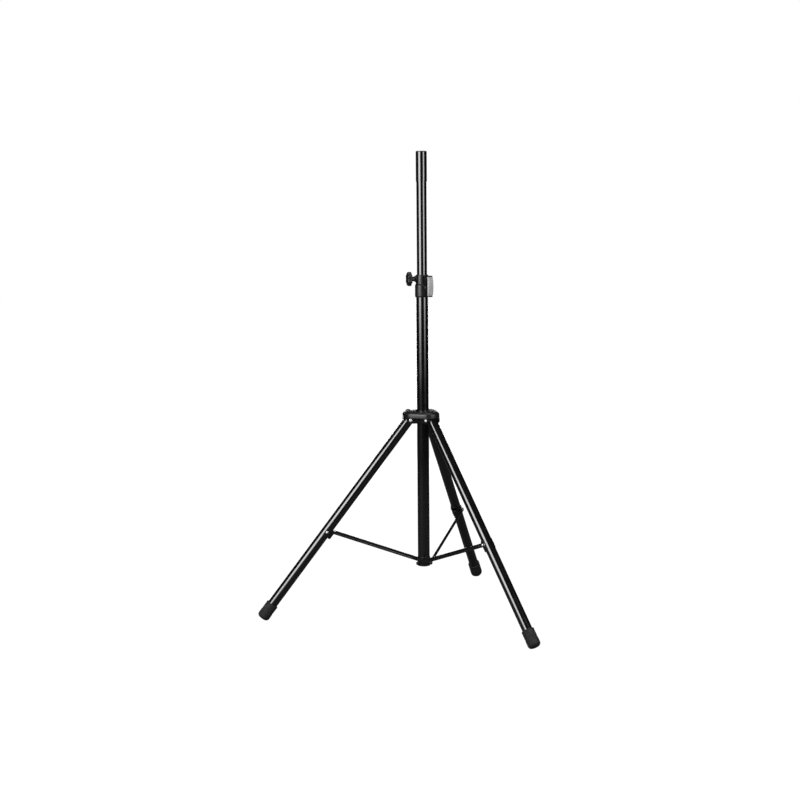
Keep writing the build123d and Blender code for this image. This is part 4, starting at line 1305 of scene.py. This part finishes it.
@dataclass
class Studio:
    """The pale floor, the soft lights and the camera."""

    camera_place: tuple[float, float, float] = (3.8863, -3.1240, 1.3921)
    heading: float = 141.206
    yaw: float = 0.917
    pitch: float = 7.185
    roll: float = 0.495
    lens: float = 64.63
    sensor: float = 36.0
    floor_size: float = 40.0
    near_floor: float = 0.9
    far_floor: float = 3.0
    near_glow: float = 0.95

    def build(self) -> None:
        """Set up the floor, the light and the camera."""
        self._floor()
        self._world()
        self._softbox("left_softbox", azimuth=-81.0, distance=3.2, width=2.2, low=0.35, high=2.5,
                      power=150.0, fade=0.42)
        self._softbox("right_softbox", azimuth=9.0, distance=3.2, width=1.45, low=0.35, high=2.6,
                      power=74.0, fade=0.42)
        self._softbox("back_softbox", azimuth=141.2, distance=3.4, width=1.6, low=0.1, high=0.95,
                      power=30.0, fade=0.2)
        self._overhead(power=36.0)
        self._camera()

    def _floor(self) -> None:
        """Lay the pale floor just under the boots."""
        half = self.floor_size / 2
        mesh = bpy.data.meshes.new("studio_floor")
        level = -0.4 * MM
        mesh.from_pydata([(-half, -half, level), (half, -half, level), (half, half, level),
                          (-half, half, level)], [], [(0, 1, 2, 3)])
        floor = bpy.data.objects.new("studio_floor", mesh)
        bpy.context.collection.objects.link(floor)
        material = bpy.data.materials.new("pale_floor")
        material.use_nodes = True
        canvas = Canvas(material.node_tree)
        shader = next(n for n in material.node_tree.nodes if n.type == "BSDF_PRINCIPLED")
        shader.inputs["Base Color"].default_value = (0.12, 0.12, 0.12, 1.0)
        shader.inputs["Roughness"].default_value = 0.9
        shader.inputs["Specular IOR Level"].default_value = 0.1
        path = canvas.node("ShaderNodeLightPath")
        place = canvas.node("ShaderNodeTexCoord")
        reach = canvas.node("ShaderNodeVectorMath", operation="LENGTH")
        canvas.feed(reach.inputs[0], place.outputs["Object"])
        far = canvas.spread(reach.outputs["Value"], self.near_floor, self.far_floor)
        pale = canvas.between(far, self.near_glow, 1.0)
        glow = canvas.node("ShaderNodeEmission")
        canvas.feed(glow.inputs["Strength"], canvas.math("MULTIPLY", path.outputs["Is Camera Ray"], pale))
        both = canvas.node("ShaderNodeAddShader")
        canvas.feed(both.inputs[0], shader.outputs[0])
        canvas.feed(both.inputs[1], glow.outputs[0])
        out = next(n for n in material.node_tree.nodes if n.type == "OUTPUT_MATERIAL")
        canvas.feed(out.inputs["Surface"], both.outputs[0])
        mesh.materials.append(material)
        floor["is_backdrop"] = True

    def _world(self) -> None:
        """Light the room: pale to the camera, dimmer in reflections."""
        world = bpy.data.worlds.new("pale_room")
        world.use_nodes = True
        canvas = Canvas(world.node_tree)
        world.node_tree.nodes.clear()
        out = canvas.node("ShaderNodeOutputWorld")
        seen = canvas.node("ShaderNodeBackground")
        seen.inputs["Color"].default_value = (1.0, 1.0, 1.0, 1.0)
        lit = canvas.node("ShaderNodeBackground")
        lit.inputs["Color"].default_value = (0.9, 0.95, 1.0, 1.0)
        lit.inputs["Strength"].default_value = 0.012
        path = canvas.node("ShaderNodeLightPath")
        mix = canvas.node("ShaderNodeMixShader")
        canvas.feed(mix.inputs[0], path.outputs["Is Camera Ray"])
        canvas.feed(mix.inputs[1], lit.outputs[0])
        canvas.feed(mix.inputs[2], seen.outputs[0])
        canvas.feed(out.inputs["Surface"], mix.outputs[0])
        bpy.context.scene.world = world
        bpy.context.scene.view_settings.view_transform = "Standard"

    @staticmethod
    def _softbox(name: str, azimuth: float, distance: float, width: float, low: float, high: float,
                 power: float, fade: float) -> None:
        """Stand a softbox that faces the mast and dims towards its lower edge.

        Args:
            name: Its name.
            azimuth: Which side of the mast it stands on, in degrees.
            distance: How far from the mast.
            width: Its width.
            low: The height of its lower edge.
            high: The height of its upper edge.
            power: Its power in watts.
            fade: The share of its height over which it dims.
        """
        light = bpy.data.lights.new(name, "AREA")
        light.shape = "RECTANGLE"
        light.size = width
        light.size_y = high - low
        light.energy = power
        light.use_nodes = True
        canvas = Canvas(light.node_tree)
        lamp = next(n for n in light.node_tree.nodes if n.type == "EMISSION")
        geometry = canvas.node("ShaderNodeNewGeometry")
        parts = canvas.node("ShaderNodeSeparateXYZ")
        canvas.feed(parts.inputs[0], geometry.outputs["Parametric"])
        canvas.feed(lamp.inputs["Strength"], canvas.spread(parts.outputs["Y"], 0.0, fade))
        holder = bpy.data.objects.new(name, light)
        bpy.context.collection.objects.link(holder)
        holder.location = radial(azimuth) * distance + Vector((0, 0, (low + high) / 2))
        holder.rotation_euler = radial(azimuth).to_track_quat("Z", "Y").to_euler()
        holder.visible_camera = False

    @staticmethod
    def _overhead(power: float) -> None:
        """Hang a soft light over the stand."""
        light = bpy.data.lights.new("overhead", "AREA")
        light.size = 2.4
        light.energy = power
        holder = bpy.data.objects.new("overhead", light)
        bpy.context.collection.objects.link(holder)
        holder.location = Vector((0.3, -0.3, 4.2))
        holder.visible_camera = False

    def _camera(self) -> None:
        """Stand the camera where the view is taken from."""
        data = bpy.data.cameras.new("studio_camera")
        data.sensor_width = self.sensor
        data.lens = self.lens
        data.clip_end = 100.0
        camera = bpy.data.objects.new("studio_camera", data)
        bpy.context.collection.objects.link(camera)
        heading = math.radians(self.heading + self.yaw)
        pitch = math.radians(self.pitch)
        roll = math.radians(self.roll)
        ahead = Vector((math.cos(heading) * math.cos(pitch), math.sin(heading) * math.cos(pitch),
                        -math.sin(pitch)))
        right = Vector((math.sin(heading), -math.cos(heading), 0))
        up = right.cross(ahead)
        level_right = right * math.cos(roll) - up * math.sin(roll)
        level_up = right * math.sin(roll) + up * math.cos(roll)
        axes = Matrix((level_right, level_up, -ahead)).transposed()
        camera.matrix_world = Matrix.Translation(self.camera_place) @ axes.to_4x4()
        bpy.context.scene.camera = camera


def main(cad_box: Sequence[Sequence[float]]) -> None:
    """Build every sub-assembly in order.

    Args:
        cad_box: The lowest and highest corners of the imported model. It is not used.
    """
    logging.basicConfig(level=logging.INFO, format="%(name)s: %(message)s")
    lean = 37.4
    leg_out = 48.0 * MM
    brace_point = 488.5 * MM
    pivot_height = middle("leg_pivot_bolts").z
    brace_foot = middle("collar_bolts").z
    paint = PaintShop(lean)
    heads = FastenerHeads(paint)
    Mast(paint).build()
    ClampHousing(paint, heads).build()
    clamp_height = middle("mast_clamp_screw").z
    StarKnob(paint, "mast_clamp", 244.0, clamp_height).make(stem_start=25.9 * MM)
    StarKnob(paint, "hub_lock", 180.0, middle("hub_lock_screw").z).make(stem_start=63.9 * MM)
    Hub(paint, heads).build()
    for leg in LEGS:
        azimuth = leg_azimuth(leg)
        pivot = radial(azimuth) * leg_out + Vector((0, 0, pivot_height))
        built = Leg(paint, heads, leg, pivot, lean)
        built.build()
        side = sideways(azimuth) * 22.75 * MM
        foot = side + Vector((0, 0, brace_foot))
        top = pivot + built.down * brace_point + side
        Brace(paint, heads, leg, foot, top).build()
    CollarBolts(paint).build()
    Studio().build()


if __name__ == "__main__":
    main(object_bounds())
